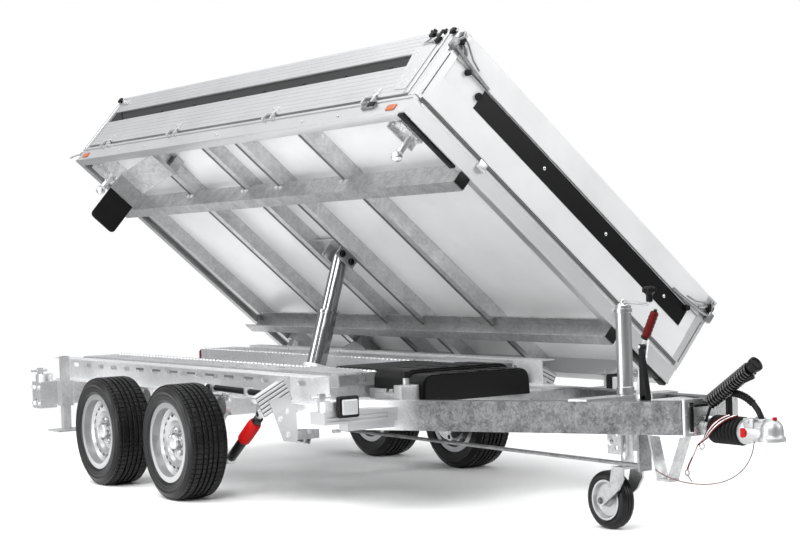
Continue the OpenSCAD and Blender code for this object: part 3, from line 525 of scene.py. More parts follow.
class Form:
    """Gathers shapes in one mesh. Points are given in the part's ground or bed places and moved by place."""

    def __init__(self, place=Matrix.Identity(4), mesh=None):
        self.mesh = bmesh.new() if mesh is None else mesh
        self.place = place

    def at(self, place):
        """The same form with its places moved."""
        return Form(self.place @ place, self.mesh)

    def take(self, other):
        """Adds another bmesh, moved."""
        for vert in other.verts:
            vert.co = self.place @ vert.co
        if self.place.determinant() < 0.0:
            bmesh.ops.reverse_faces(other, faces=other.faces[:])
        data = bpy.data.meshes.new("part")
        other.to_mesh(data)
        other.free()
        self.mesh.from_mesh(data)
        bpy.data.meshes.remove(data)

    def block(self, one, other, soft=0.003, steps=2):
        """A box between two opposite corners, with rounded edges."""
        low, high = (Vector(tuple(map(pick, one, other))) for pick in (min, max))
        part = bmesh.new()
        bmesh.ops.create_cube(part, size=1.0)
        for vert in part.verts:
            vert.co = Vector(low[i] + (vert.co[i] + 0.5) * (high[i] - low[i]) for i in range(3))
        if soft > 0.0:
            soft = min(soft, 0.45 * min(high - low))
            edges = part.edges[:]
            bmesh.ops.bevel(part, geom=edges, offset=soft, segments=steps, profile=0.6, affect="EDGES")
        self.take(part)

    def extrude(self, outline, origin, out, up, along):
        """A closed outline of (out, up) points drawn out along a vector."""
        part = bmesh.new()
        origin, out, up, along = Vector(origin), Vector(out), Vector(up), Vector(along)
        near = [part.verts.new(origin + out * a + up * b) for a, b in outline]
        far = [part.verts.new(origin + out * a + up * b + along) for a, b in outline]
        count = len(outline)
        for k in range(count):
            n = (k + 1) % count
            part.faces.new((near[k], near[n], far[n], far[k]))
        part.faces.new(near[::-1])
        part.faces.new(far)
        bmesh.ops.recalc_face_normals(part, faces=part.faces[:])
        self.take(part)

    def lathe(self, profile, centre, axis, steps=48, close=False):
        """Turns (radius, height) points about an axis. A radius of 0 closes the end."""
        part = bmesh.new()
        turn = Vector(UP).rotation_difference(Vector(axis)).to_matrix().to_4x4()
        move = Matrix.Translation(centre) @ turn
        rings = []
        for radius, height in profile:
            spots = [(0.0, 0.0, height)]
            if radius > 0.0:
                spots = [(radius * a, radius * b, height) for a, b in circle(steps)]
            rings.append([part.verts.new(move @ Vector(spot)) for spot in spots])
        if close:
            rings.append(rings[0])
        for a, b in zip(rings, rings[1:]):
            for k in range(steps):
                n = (k + 1) % steps
                if len(a) == 1:
                    part.faces.new((a[0], b[n], b[k]))
                elif len(b) == 1:
                    part.faces.new((a[k], a[n], b[0]))
                else:
                    part.faces.new((a[k], a[n], b[n], b[k]))
        bmesh.ops.recalc_face_normals(part, faces=part.faces[:])
        self.take(part)

    def rod(self, start, end, radius, sides):
        """A round bar with eased ends."""
        start, end = Vector(start), Vector(end)
        size = (end - start).length
        soft = min(0.0015, radius * 0.4, size * 0.4)
        profile = [(0, 0), (radius - soft, 0), (radius, soft)]
        profile += [(radius, size - soft), (radius - soft, size), (0, size)]
        self.lathe(profile, start, end - start, sides)

    def tube(self, points, radius, sides=12):
        """A round wire along points."""
        part = bmesh.new()
        points = [Vector(p) for p in points]
        rings = []
        normal = None
        for k, point in enumerate(points):
            ahead = (points[min(k + 1, len(points) - 1)] - points[max(k - 1, 0)]).normalized()
            if normal is None:
                normal = ahead.orthogonal().normalized()
            normal = (normal - ahead * normal.dot(ahead)).normalized()
            side = ahead.cross(normal)
            rings.append([part.verts.new(point + radius * (a * normal + b * side)) for a, b in circle(sides)])
        for a, b in zip(rings, rings[1:]):
            for j in range(sides):
                n = (j + 1) % sides
                part.faces.new((a[j], a[n], b[n], b[j]))
        part.faces.new(rings[0][::-1])
        part.faces.new(rings[-1])
        bmesh.ops.recalc_face_normals(part, faces=part.faces[:])
        self.take(part)

    def end(self, name):
        """Turns what was gathered into a mesh."""
        data = bpy.data.meshes.new(name)
        self.mesh.to_mesh(data)
        self.mesh.free()
        return data

    def piece(self, name, finish, body, stands_for=(), slot=None, sharp=35.0):
        """Ends the form as an object that rides on a body."""
        data = self.end(name)
        data.materials.append(bpy.data.materials[finish])
        shown(name, data, body, stands_for, sharp)


def shown(name, data, body, stands_for=(), sharp=35.0):
    """An object of a finished mesh that rides on a body."""
    for face in data.polygons:
        face.use_smooth = True
    data.set_sharp_from_angle(angle=math.radians(sharp))
    made = bpy.data.objects.new(name, data)
    bpy.context.scene.collection.objects.link(made)
    if stands_for:
        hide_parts(*stands_for)
    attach(made, body)


def ribs(low, high, pitch, depth):
    """Points up an outer face with a fine groove at each pitch."""
    count = max(1, round((high - low) / pitch))
    step = (high - low) / count
    points = []
    for k in range(count):
        middle = low + (k + 0.5) * step
        points += [(0.0, middle - 0.002), (-depth, middle - 0.001)]
        points += [(-depth, middle + 0.001), (0.0, middle + 0.002)]
    return points


def board_outline():
    """Section of a drop board: grooved faces above and below the sunk band."""
    s = sizes()
    low, high, thick = s.board_low, s.board_high, s.board_thick
    bottom, top, sunk = s.stripe_low, s.stripe_high, 0.011
    outside = [(0.0, low)] + ribs(low + 0.012, bottom - 0.008, 0.026, 0.0009)
    outside += [(0.0, bottom - 0.003), (-0.003, bottom), (-sunk, bottom), (-sunk, top)]
    outside += [(-0.003, top), (0.0, top + 0.003)]
    outside += ribs(top + 0.01, high - 0.012, 0.026, 0.0009)
    outside += [(0.0, high - 0.005), (-0.002, high - 0.001), (-0.005, high)]
    inside = [(-thick + 0.004, high), (-thick, high - 0.004)]
    inside += [(-thick - a, b) for a, b in reversed(ribs(low + 0.03, high - 0.03, 0.06, 0.002))]
    return outside + inside + [(-thick, low)]


def edge_outline():
    """Section of the edge profile: a smooth face between two raised lips."""
    high, face = sizes().edge_height, -0.006
    points = [(-0.046, 0.0), (face, 0.0), (face + 0.004, 0.002), (face + 0.004, 0.010), (face, 0.013)]
    points += [(face, high - 0.020), (face + 0.005, high - 0.016), (face + 0.005, high - 0.004)]
    return points + [(face + 0.002, high), (-0.046, high)]


# Geometry Nodes: what repeats


def geometry_tree(name, inputs):
    """An empty Geometry Nodes tree: inputs are (name, socket type)."""
    tree = bpy.data.node_groups.new(name, "GeometryNodeTree")
    for label, kind in [("Geometry", SHAPE), *inputs, ("Finish", PAINT)]:
        tree.interface.new_socket(label, in_out="INPUT", socket_type=kind)
    tree.interface.new_socket("Geometry", in_out="OUTPUT", socket_type=SHAPE)
    return tree, tree.nodes.new("NodeGroupInput")


def end_tree(tree, last, inp):
    """Ends a tree: real geometry with its finish."""
    real = add(tree, "GeometryNodeRealizeInstances")
    paint = add(tree, "GeometryNodeSetMaterial")
    out = tree.nodes.new("NodeGroupOutput")
    wire(
        tree,
        (last, 0, real, 0),
        (real, 0, paint, "Geometry"),
        (inp, "Finish", paint, "Material"),
        (paint, 0, out, 0),
    )


def fastener_tree():
    """A copy of an object on each point, its Z along the point's axis attribute."""
    tree, inp = geometry_tree("Fasteners", [("Fastener", THING)])
    source = add(tree, "GeometryNodeObjectInfo")
    axis = add(tree, "GeometryNodeInputNamedAttribute", data_type="FLOAT_VECTOR", in_Name="axis")
    align = add(tree, "FunctionNodeAlignRotationToVector", axis="Z")
    copies = add(tree, "GeometryNodeInstanceOnPoints")
    wire(
        tree,
        (inp, "Fastener", source, "Object"),
        (axis, "Attribute", align, "Vector"),
        (inp, "Geometry", copies, "Points"),
        (source, "Geometry", copies, "Instance"),
        (align, "Rotation", copies, "Rotation"),
    )
    end_tree(tree, copies, inp)


def ring_tree():
    """Copies of an object around a Y axis, its X pointing out."""
    tree, inp = geometry_tree("Ring of blocks", [("Block", THING), ("Count", WHOLE), ("Radius", FLOAT)])
    ring = add(tree, "GeometryNodeMeshCircle")
    source = add(tree, "GeometryNodeObjectInfo")
    index = add(tree, "GeometryNodeInputIndex")
    share = math_node(tree, "DIVIDE", index.outputs[0], inp.outputs["Count"])
    about = add(tree, "ShaderNodeCombineXYZ")
    tree.links.new(math_node(tree, "MULTIPLY", share, 2.0 * math.pi), about.inputs["Z"])
    copies = add(tree, "GeometryNodeInstanceOnPoints")
    upright = add(tree, "GeometryNodeTransform")
    upright.inputs["Rotation"].default_value = (math.pi / 2, 0.0, 0.0)
    wire(
        tree,
        (inp, "Count", ring, "Vertices"),
        (inp, "Radius", ring, "Radius"),
        (inp, "Block", source, "Object"),
        (ring, "Mesh", copies, "Points"),
        (source, "Geometry", copies, "Instance"),
        (about, 0, copies, "Rotation"),
        (copies, 0, upright, "Geometry"),
    )
    end_tree(tree, upright, inp)


def coil_tree():
    """A curly cable wound about Z."""
    inputs = [(name, FLOAT) for name in ("Turns", "Coil radius", "Length", "Wire radius")]
    tree, inp = geometry_tree("Curly cable", inputs)
    spiral = add(tree, "GeometryNodeCurveSpiral", in_Resolution=24)
    section = add(tree, "GeometryNodeCurvePrimitiveCircle", in_Resolution=10)
    sweep = add(tree, "GeometryNodeCurveToMesh", in_Fill_Caps=True)
    wire(
        tree,
        (inp, "Turns", spiral, "Rotations"),
        (inp, "Coil radius", spiral, "Start Radius"),
        (inp, "Coil radius", spiral, "End Radius"),
        (inp, "Length", spiral, "Height"),
        (inp, "Wire radius", section, "Radius"),
        (spiral, 0, sweep, "Curve"),
        (section, 0, sweep, "Profile Curve"),
    )
    end_tree(tree, sweep, inp)


def bake(name, label, finish, values, data=None):
    """Runs a tree, on a mesh or on nothing, and returns the plain mesh that it makes."""
    tree = bpy.data.node_groups[label]
    values["Finish"] = bpy.data.materials[finish]
    holder = bpy.data.objects.new(name, bpy.data.meshes.new(name) if data is None else data)
    bpy.context.scene.collection.objects.link(holder)
    modifier = holder.modifiers.new(label, "NODES")
    modifier.node_group = tree
    for item in tree.interface.items_tree:
        if item.in_out == "INPUT" and item.name in values:
            modifier[item.identifier] = values[item.name]
    bpy.context.view_layer.update()
    made = bpy.data.meshes.new_from_object(holder.evaluated_get(bpy.context.evaluated_depsgraph_get()))
    bpy.data.objects.remove(holder)
    if not made.polygons:
        raise RuntimeError("no faces came out of " + label)
    made.name = name
    return made


def pattern(form):
    """A hidden object that a tree copies."""
    made = bpy.data.objects.new("pattern", form.end("pattern"))
    bpy.context.scene.collection.objects.link(made)
    return made


def fasteners(name, spots, place, head, finish, body):
    """Bolt or rivet heads: spots are (point, axis) in the form's places."""
    points = bpy.data.meshes.new(name)
    points.from_pydata([place @ Vector(point) for point, axis in spots], [], [])
    axes = points.attributes.new("axis", "FLOAT_VECTOR", "POINT")
    turn = place.to_3x3()
    for k, (point, axis) in enumerate(spots):
        axes.data[k].vector = (turn @ Vector(axis)).normalized()
    source = pattern(head)
    made = bake(name, "Fasteners", finish, {"Fastener": source}, points)
    bpy.data.objects.remove(source)
    shown(name, made, body)


def rivet(radius):
    """A domed head that stands on Z = 0."""
    form = Form()
    profile = [(radius, -0.001), (radius, 0.0005), (radius * 0.85, radius * 0.3)]
    profile += [(radius * 0.5, radius * 0.5), (0, radius * 0.56)]
    form.lathe(profile, (0, 0, 0), UP, 14)
    return form


def bolt(radius):
    """A hexagon head on a washer."""
    form = Form()
    washer = [(radius * 1.35, -0.001), (radius * 1.35, 0.002), (radius * 0.9, 0.0022)]
    head = [(radius, 0.002), (radius, radius * 0.75), (radius * 0.86, radius * 0.9), (0, radius * 0.9)]
    form.lathe(washer, (0, 0, 0), UP, 20)
    form.lathe(head, (0, 0, 0), UP, 6)
    return form


class TIPPER_OT_trees(bpy.types.Operator):
    """Makes the Geometry Nodes trees that the other steps run"""

    bl_idname = "tipper.trees"
    bl_label = "Trees"

    def execute(self, context):
        fastener_tree()
        ring_tree()
        coil_tree()
        return {"FINISHED"}


# The bed


class TIPPER_OT_boards(bpy.types.Operator):
    """Grooved drop boards with their hinge leaves, dark bands, rivets and latch levers"""

    bl_idname = "tipper.boards"
    bl_label = "Boards"

    def execute(self, context):
        s = sizes()
        half, low, high = s.bed_half, s.stripe_low, s.stripe_high
        start = s.bed_rear + s.post + s.board_gap
        run = s.bed_front - s.post - s.board_gap - start
        band = [(-0.013, low), (-0.0095, low + 0.0005), (-0.0095, high - 0.0005), (-0.013, high)]
        for name, side in (("left_board", 1.0), ("right_board", -1.0)):
            place = bed_at() @ mirrored(side)
            form = Form(place)
            form.extrude(board_outline(), (start, half, 0), LEFT, UP, (run, 0, 0))
            for x in HINGES:
                self.hinge_leaf(form.at(Matrix.Translation((x, half, s.board_low))))
            form.piece("grooved_" + name, "Aluminium along", name, (name,), "aluminium")
            form = Form(place)
            form.extrude(band, (start + 0.02, half, 0), LEFT, UP, (run - 0.04, 0, 0))
            form.piece("band_" + name, "Dark band", name)
            form = Form(place)
            for x, end in ((start + 0.012, 1.0), (start + run - 0.012, -1.0)):
                wedge = [(0, low), (0, high), (end * 0.05, high), (end * 0.16, low)]
                form.extrude(wedge, (x, half - 0.0095, 0), AHEAD, UP, (0, 0.006, 0))
            form.piece("band_ends_" + name, "Black plastic", name)
            spots = [((-0.829 + k * 0.365, half - 0.0095, low + 0.011), LEFT) for k in range(7)]
            fasteners("band_rivets_" + name, spots, place, rivet(0.014), "Black plastic", name)
            self.end_plate(place @ Matrix.Translation((s.bed_front - 0.107, half, 0)), name)
            form = Form(place)
            for x, way in ((start + run - 0.01, -1.0), (start + 0.01, 1.0)):
                self.lever(form.at(Matrix.Translation((x, half, s.board_high - 0.045))), way)
            form.piece("board_levers_" + name, "Galvanised bright", name)
        inner = half - s.post - s.board_gap
        form = Form(bed_at(s.bed_rear))
        form.extrude(board_outline(), (0, -inner, 0), BACK, UP, (0, 2 * inner, 0))
        for y in REAR_HINGES:
            self.hinge_leaf(form.at(Matrix.Translation((0, y, s.board_low)) @ QUARTER))
        form.piece("grooved_rear_board", "Aluminium across", "rear_board", ("rear_board",), "aluminium")
        form = Form(bed_at(s.bed_rear))
        form.extrude(band, (0, -inner + 0.02, 0), BACK, UP, (0, 2 * inner - 0.04, 0))
        form.piece("band_rear_board", "Dark band", "rear_board")
        return {"FINISHED"}

    def end_plate(self, place, name):
        """The riveted plate at a side board's front end, its seam and the latch cylinder above it."""
        s = sizes()
        low, high = s.board_low + 0.028, s.board_high - 0.088
        bottom, top = s.board_low + 0.004, s.board_high - 0.006
        form = Form(place)
        plate = [(0, low), (0, high), (-0.158, high + 0.008), (-0.094, low + 0.004)]
        form.extrude(plate, (0, -0.001, 0), AHEAD, UP, (0, 0.0035, 0))
        form.block((0.006, -0.001, bottom), (0.039, 0.003, top), 0.001)
        form.piece("end_plate_" + name, "Galvanised", name)
        spots = [((-0.03 - 0.09 * k, 0.0022, high - 0.02), LEFT) for k in range(2)]
        spots += [((-0.03, 0.0022, high - 0.02 - 0.06 * k), LEFT) for k in range(1, 4)]
        fasteners("plate_rivets_" + name, spots, place, rivet(0.005), "Chrome rod", name)
        form = Form(place)
        form.block((0, -0.001, bottom), (0.006, 0.001, top), 0.0)
        barrel = [(0.0, 0.0), (0.012, 0.0), (0.0165, 0.004), (0.0165, 0.062), (0.013, 0.066)]
        barrel += [(0.006, 0.067), (0.006, 0.078), (0.0, 0.079)]
        form.lathe(barrel, (0, 0.004, high + 0.008), UP, 24)
        hub = Vector((-0.082, 0.006, high + 0.062))
        for k in range(5):
            turn = -0.6 + 0.7 * k
            form.rod(hub, hub + Vector((0.030 * math.cos(turn), 0.006, 0.030 * math.sin(turn))), 0.006, 10)
        form.rod((hub.x, -0.001, hub.z), (hub.x, 0.016, hub.z), 0.014, 18)
        form.piece("latch_cylinder_" + name, "Black plastic", name)
        form = Form(place)
        for k in range(3):
            path = [(-0.12 + 0.02 * k, 0.004, high + 0.020 + 0.010 * k)]
            path += [(-0.07, 0.010, high + 0.030 + 0.006 * k), (-0.012, 0.006, high + 0.012 + 0.012 * k)]
            form.tube(path, 0.003, 8)
        form.piece("latch_wires_" + name, "Chrome rod", name)

    def hinge_leaf(self, form):
        """The moving leaf of a hinge: a strap on the board and its knuckle."""
        form.block((-0.03, -0.002, 0.0), (0.03, 0.004, 0.055), 0.0015)
        form.block((-0.03, 0.0, 0.0), (0.03, 0.011, 0.009), 0.001)
        form.rod((-0.03, 0.010, 0.001), (0.03, 0.010, 0.001), 0.008, 16)
        for x in (-0.018, 0.018):
            form.rod((x, 0.003, 0.038), (x, 0.0075, 0.038), 0.006, 12)

    def lever(self, form, way):
        """A flat latch lever on the end of a side board."""
        form.block((0.0, 0.0, -0.014), (way * 0.075, 0.004, 0.014), 0.0015)
        path = [(0.012, 0.005, 0.0), (0.03, 0.012, -0.006), (0.07, 0.012, -0.012), (0.085, 0.008, -0.02)]
        form.tube([(way * x, y, z) for x, y, z in path], 0.0035, 10)
        form.rod((way * 0.02, 0.002, 0.0), (way * 0.02, 0.014, 0.0), 0.009, 14)


class TIPPER_OT_bed_frame(bpy.types.Operator):
    """Edge profile with its hinge ears, the load floor's planks and the four corner posts"""

    bl_idname = "tipper.bed_frame"
    bl_label = "Bed frame"

    def execute(self, context):
        s = sizes()
        half, front, rear = s.bed_half, s.bed_front, s.bed_rear
        form = Form(bed_at())
        start, end, across = rear + 0.006, front - 0.006, half - 0.046
        for side in SIDES:
            form.extrude(edge_outline(), (start, side * half, 0), (0, side, 0), UP, (end - start, 0, 0))
            for x in HINGES:
                self.ears(form.at(mirrored(side) @ Matrix.Translation((x, half, s.board_low))))
        for x, way in ((rear, -1.0), (front, 1.0)):
            form.extrude(edge_outline(), (x, -across, 0), (way, 0, 0), UP, (0, 2 * across, 0))
        for y in REAR_HINGES:
            self.ears(form.at(Matrix.Translation((rear, y, s.board_low)) @ QUARTER))
        form.piece("edge_profile", "Aluminium along", "bed", ("bed_frame",), "aluminium")
        form = Form(bed_at())
        inner, planks = half - s.post - 0.006, 7
        step = 2 * inner / planks
        for k in range(planks):
            right = -inner + k * step
            corner = (rear + 0.066, right + 0.001, 0.0935)
            form.block(corner, (front - 0.044, right + step - 0.001, 0.0962), 0.0008, 1)
        form.piece("load_planks", "Galvanised dull", "bed")
        form = Form(bed_at())
        low, high, wide = s.edge_height, s.board_high, s.post
        outline = [(0.004, 0), (0.0, 0.004), (0.0, 0.022), (0.003, 0.024), (0.003, 0.030), (0.0, 0.032)]
        outline += [(0.0, wide), (wide, wide), (wide, 0.032), (wide, 0.0)]
        for x, way in ((front, -1.0), (rear, 1.0)):
            for side in SIDES:
                y = side * half
                form.extrude(outline, (x, y, low), (0, -side, 0), (way, 0, 0), (0, 0, high - low - 0.006))
                form.block((x, y, high - 0.008), (x + way * wide, side * (half - wide), high), 0.003)
        form.piece("grooved_posts", "Aluminium upright", "bed", ("corner_posts",), "aluminium")
        return {"FINISHED"}

    def ears(self, form):
        """Two fixed ears and the pin between them."""
        for x in (-0.046, 0.031):
            form.rod((x, 0.010, 0.001), (x + 0.015, 0.010, 0.001), 0.008, 16)
            form.block((x, -0.006, -0.034), (x + 0.015, 0.018, -0.009), 0.002)
            form.block((x, 0.003, -0.012), (x + 0.015, 0.017, 0.001), 0.001)
        form.rod((-0.033, 0.010, 0.001), (0.033, 0.010, 0.001), 0.005, 12)


class TIPPER_OT_front_board(bpy.types.Operator):
    """Fixed front board with its glossy black band, studs, ledge, buffers and latch bars"""

    bl_idname = "tipper.front_board"
    bl_label = "Front board"

    def execute(self, context):
        s = sizes()
        face = bed_at(s.bed_front)
        across = s.bed_half - s.post
        low, high, thick = s.board_low, s.board_high, s.board_thick
        section = [(-0.037, low - 0.012), (-0.003, low - 0.012), (-0.003, low), (0.0, low + 0.001)]
        section += [(0.0, 0.236), (-0.003, 0.238), (-0.003, 0.337), (0.003, 0.339), (0.003, 0.347)]
        section += [(0.0, 0.349), (0.0, high - 0.004), (-0.003, high)]
        section += [(-thick, high), (-thick, low), (-0.037, low)]
        form = Form(face)
        form.extrude(section, (0, -across, 0), AHEAD, UP, (0, 2 * across, 0))
        form.piece("smooth_front_board", "White board", "bed", ("front_board",), "aluminium")
        band = [(-0.006, 0.240), (-0.0005, 0.2405), (-0.0005, 0.3355), (-0.006, 0.336)]
        form = Form(face)
        form.extrude(band, (0, -0.66, 0), AHEAD, UP, (0, 1.45, 0))
        form.piece("front_band", "Black band", "bed")
        spots = [((-0.0005, y, 0.290), AHEAD) for y in (-0.223, 0.211, 0.641)]
        fasteners("front_studs", spots, face, rivet(0.009), "Chrome rod", "bed")
        form = Form(face)
        form.rod((-0.002, -0.671, 0.291), (0.012, -0.671, 0.291), 0.017, 24)
        for side in SIDES:
            knob, ledge, buffer = side * 0.775, side * 0.72, side * 0.515
            form.rod((-0.002, knob, 0.330), (0.018, knob, 0.330), 0.013, 20)
            form.block((-0.05, ledge - 0.15, -0.010), (-0.012, ledge + 0.15, 0.0005), 0.003)
            form.block((-0.007, buffer - 0.028, -0.058), (0.002, buffer + 0.028, -0.002), 0.004)
        form.piece("front_buffers", "Black plastic", "bed")
        form = Form(face)
        for y in (-0.479, 0.479):
            form.block((-0.004, y - 0.022, 0.060), (0.008, y + 0.022, 0.100), 0.003)
            form.tube([(0.008, y - 0.02, 0.066), (0.016, y, 0.060), (0.008, y + 0.02, 0.066)], 0.004, 10)
        form.block((-0.004, -across, 0.094), (0.001, across, 0.1), 0.0015)
        form.piece("front_hooks", "Galvanised bright", "bed")
        self.seams(face, across)
        return {"FINISHED"}

    def seams(self, face, across):
        """Grey strips of painted shadow in the gap under the board, seams at the posts, the latch bar along the
        band, and a grey strip of painted shade at the ledge above the band.
        """
        form = Form(face)
        # Painted shadow: three dark strips fill the gap line between the edge profile and the board.
        for low, high in ((0.087, 0.0925), (0.0935, 0.0985), (0.0995, 0.1045)):
            form.block((-0.006, -across - 0.03, low), (0.0025, across + 0.03, high), 0.001, 1)
        for side in SIDES:
            form.block((-0.002, side * 0.885, 0.112), (0.0012, side * 0.890, 0.338), 0.0)
        form.piece("front_seams", "Seam and shade grey", "bed")
        form = Form(face)
        bar = [(0.012, 0.896, 0.376), (0.012, 0.84, 0.366), (0.012, 0.76, 0.354)]
        bar += [(0.012, 0.70, 0.347), (0.012, 0.655, 0.344)]
        hook = [(0.012, 0.90, 0.395), (0.018, 0.885, 0.425), (0.014, 0.894, 0.452)]
        catch = [(0.010, 0.862, 0.41), (0.018, 0.846, 0.39), (0.010, 0.826, 0.374)]
        for side in SIDES:
            for path, radius, sides in ((bar, 0.0075, 12), (hook, 0.006, 10), (catch, 0.007, 10)):
                form.tube([(x, side * y, z) for x, y, z in path], radius, sides)
            form.block((0.0, side * 0.903 - 0.016, 0.352), (0.022, side * 0.903 + 0.016, 0.398), 0.004)
        # Painted shade: a grey strip along the ledge just above the band, for the thin shaded gap there.
        form.block((-0.002, -across, 0.3385), (0.0045, across, 0.3445), 0.001)
        form.piece("latch_bars", "Latch grey", "bed")


class TIPPER_OT_latches(bpy.types.Operator):
    """Corner latches, knobs, side reflectors and lashing catches on the bed"""

    bl_idname = "tipper.latches"
    bl_label = "Latches"

    def execute(self, context):
        s = sizes()
        half, front, high = s.bed_half, s.bed_front, s.board_high
        bright, black, amber = (Form(bed_at()) for k in range(3))
        hook = [(0.006, 0.0, 0.03), (0.018, 0.03, 0.05), (0.018, 0.09, 0.085), (0.012, 0.14, 0.094)]
        rear_hooks = (
            (0.0045, [(0.004, 0.0, high - 0.02), (0.05, 0.01, high - 0.012), (0.085, 0.012, high + 0.002)]),
            (0.0045, [(0.004, 0.0, 0.075), (0.06, 0.02, 0.055), (0.10, 0.03, 0.028)]),
            (0.004, [(0.004, -0.02, 0.10), (0.02, 0.0, 0.09), (0.02, 0.02, 0.07), (0.006, 0.025, 0.05)]),
        )
        for side in SIDES:
            y = side * (half - 0.03)
            for x, way in ((front, 1.0), (s.bed_rear, -1.0)):
                corner = (x + way * 0.004, y + 0.016, high - 0.015)
                bright.block((x, y - 0.016, high - 0.075), corner, 0.0015)
                bright.tube([(x + way * a, y - side * b, high - c) for a, b, c in hook], 0.004, 10)
                bright.rod((x + way * 0.002, y, high - 0.03), (x + way * 0.02, y, high - 0.03), 0.010, 16)
                self.knob(black, (x - way * 0.03, side * half, high - 0.03), (0, side, 0))
                self.knob(black, (x, y, high - 0.055), (way, 0, 0))
            x = s.bed_rear
            self.knob(black, (x, y, 0.115), BACK)
            for radius, path in rear_hooks:
                bright.tube([(x - a, y + side * b, c) for a, b, c in path], radius, 10)
            bright.block((x - 0.012, y - 0.018, 0.055), (x, y + 0.018, 0.100), 0.003)
            face = side * (half - 0.006)
            for x in (1.611, -1.442):
                amber.block((x - 0.032, face, 0.022), (x + 0.032, face + side * 0.006, 0.052), 0.003)
            bright.block((1.38, face, 0.046), (1.47, face + side * 0.012, 0.082), 0.003)
            y = face + side * 0.008
            bright.rod((1.365, y, 0.078), (1.42, y, 0.078), 0.010, 16)
            black.block((1.425, face + side * 0.010, 0.052), (1.475, face + side * 0.016, 0.074), 0.002)
            corner = (front - 0.008, side * (half - 0.008), 0.001)
            black.block((front - 0.05, side * (half - 0.05), -0.012), corner, 0.003)
        bright.piece("corner_latches", "Latch grey", "bed")
        black.piece("latch_knobs", "Black plastic", "bed")
        amber.piece("side_reflectors", "Amber lens", "bed")
        return {"FINISHED"}

    def knob(self, form, centre, axis):
        """A small ribbed knob."""
        profile = [(0.009, -0.001), (0.009, 0.006), (0.015, 0.008)]
        profile += [(0.016, 0.014), (0.013, 0.019), (0, 0.020)]
        form.lathe(profile, centre, axis, 18)
        axis = Vector(axis)
        one = axis.orthogonal().normalized()
        two = axis.cross(one)
        for a, b in circle(6):
            spot = Vector(centre) + (a * one + b * two) * 0.014
            form.rod(spot + axis * 0.007, spot + axis * 0.016, 0.005, 10)


class TIPPER_OT_underside(bpy.types.Operator):
    """Mud flaps with rounded corners, painted shade strips along the cross members, and the bolts and rivets of
    the bed's underside
    """

    bl_idname = "tipper.underside"
    bl_label = "Underside"

    def execute(self, context):
        form = Form(on_bed())
        inner, outer, low, high, soft = 0.705, 0.864, 0.209, 0.459, 0.022
        centres = [(inner + soft, low + soft), (outer - soft, low + soft)]
        centres += [(outer - soft, high - soft), (inner + soft, high - soft)]
        outline = []
        for k, (y, z) in enumerate(centres):
            turns = [math.pi + (k + j / 4) * math.pi / 2 for j in range(5)]
            outline += [(y + soft * math.cos(turn), z + soft * math.sin(turn)) for turn in turns]
        for side in SIDES:
            form.extrude([(side * a, b) for a, b in outline], (-0.870, 0, 0), LEFT, UP, (0.007, 0, 0))
        form.piece("rubber_flaps", "Black rubber", "bed", ("mud_flaps",), "rubber")
        # Painted shade: a thin dark strip along one edge of each cross member's flange, where the flange is in
        # shadow.
        form = Form(on_bed())
        for x in MEMBERS:
            form.block((x - 0.034, -0.86, 0.6085), (x - 0.014, 0.86, 0.6115), 0.0)
        form.piece("member_seams", "Seam and shade grey", "bed")
        spots, rivets = [], []
        for side in SIDES:
            spots += [((x + dx, side * 0.545, 0.590), (0, side, 0)) for x in MEMBERS for dx in (-0.02, 0.02)]
            spots += [((-0.866, side * y, 0.44), BACK) for y in (0.73, 0.785, 0.84)]
            for x in (-1.365, -1.315, 1.565, 1.615):
                spots += [((x, side * y, 0.605), (0, 0, -1)) for y in (0.725, 0.84)]
            rivets += [((x, side * 0.907, 0.624), (0, side, 0)) for x in (-1.0, -0.7, 0.1, 0.9, 1.2)]
        fasteners("bed_bolts", spots, on_bed(), bolt(0.009), "Galvanised bright", "bed")
        fasteners("edge_rivets", rivets, on_bed(), rivet(0.006), "Chrome rod", "bed")
        return {"FINISHED"}


class TIPPER_OT_lift(bpy.types.Operator):
    """Gland ring at the top of the lift cylinder's barrel, and the black bolts of its upper bracket"""

    bl_idname = "tipper.lift"
    bl_label = "Lift"

    def execute(self, context):
        foot, head = Vector((0.090, 0.0, 0.230)), Vector((0.090, 0.26204, 1.08185))
        axis = (head - foot).normalized()
        gland = [(0.056, 0.0), (0.064, 0.002), (0.064, 0.012), (0.061, 0.014), (0.064, 0.016), (0.064, 0.027)]
        gland += [(0.060, 0.0305), (0.0490, 0.0305)]
        form = Form(on_ground())
        form.lathe(gland, foot + axis * 0.301, axis, 48)
        # The gland ring takes the brightened zinc copy, painted light.
        form.piece("gland_ring", "Galvanised lit", "barrel")
        spots = [((foot.x + 0.070, y, 0.606), AHEAD) for y in (-0.032, 0.032)]
        fasteners("bracket_bolts", spots, on_bed(), bolt(0.013), "Black paint", "bed")
        return {"FINISHED"}


# Wheels and chassis


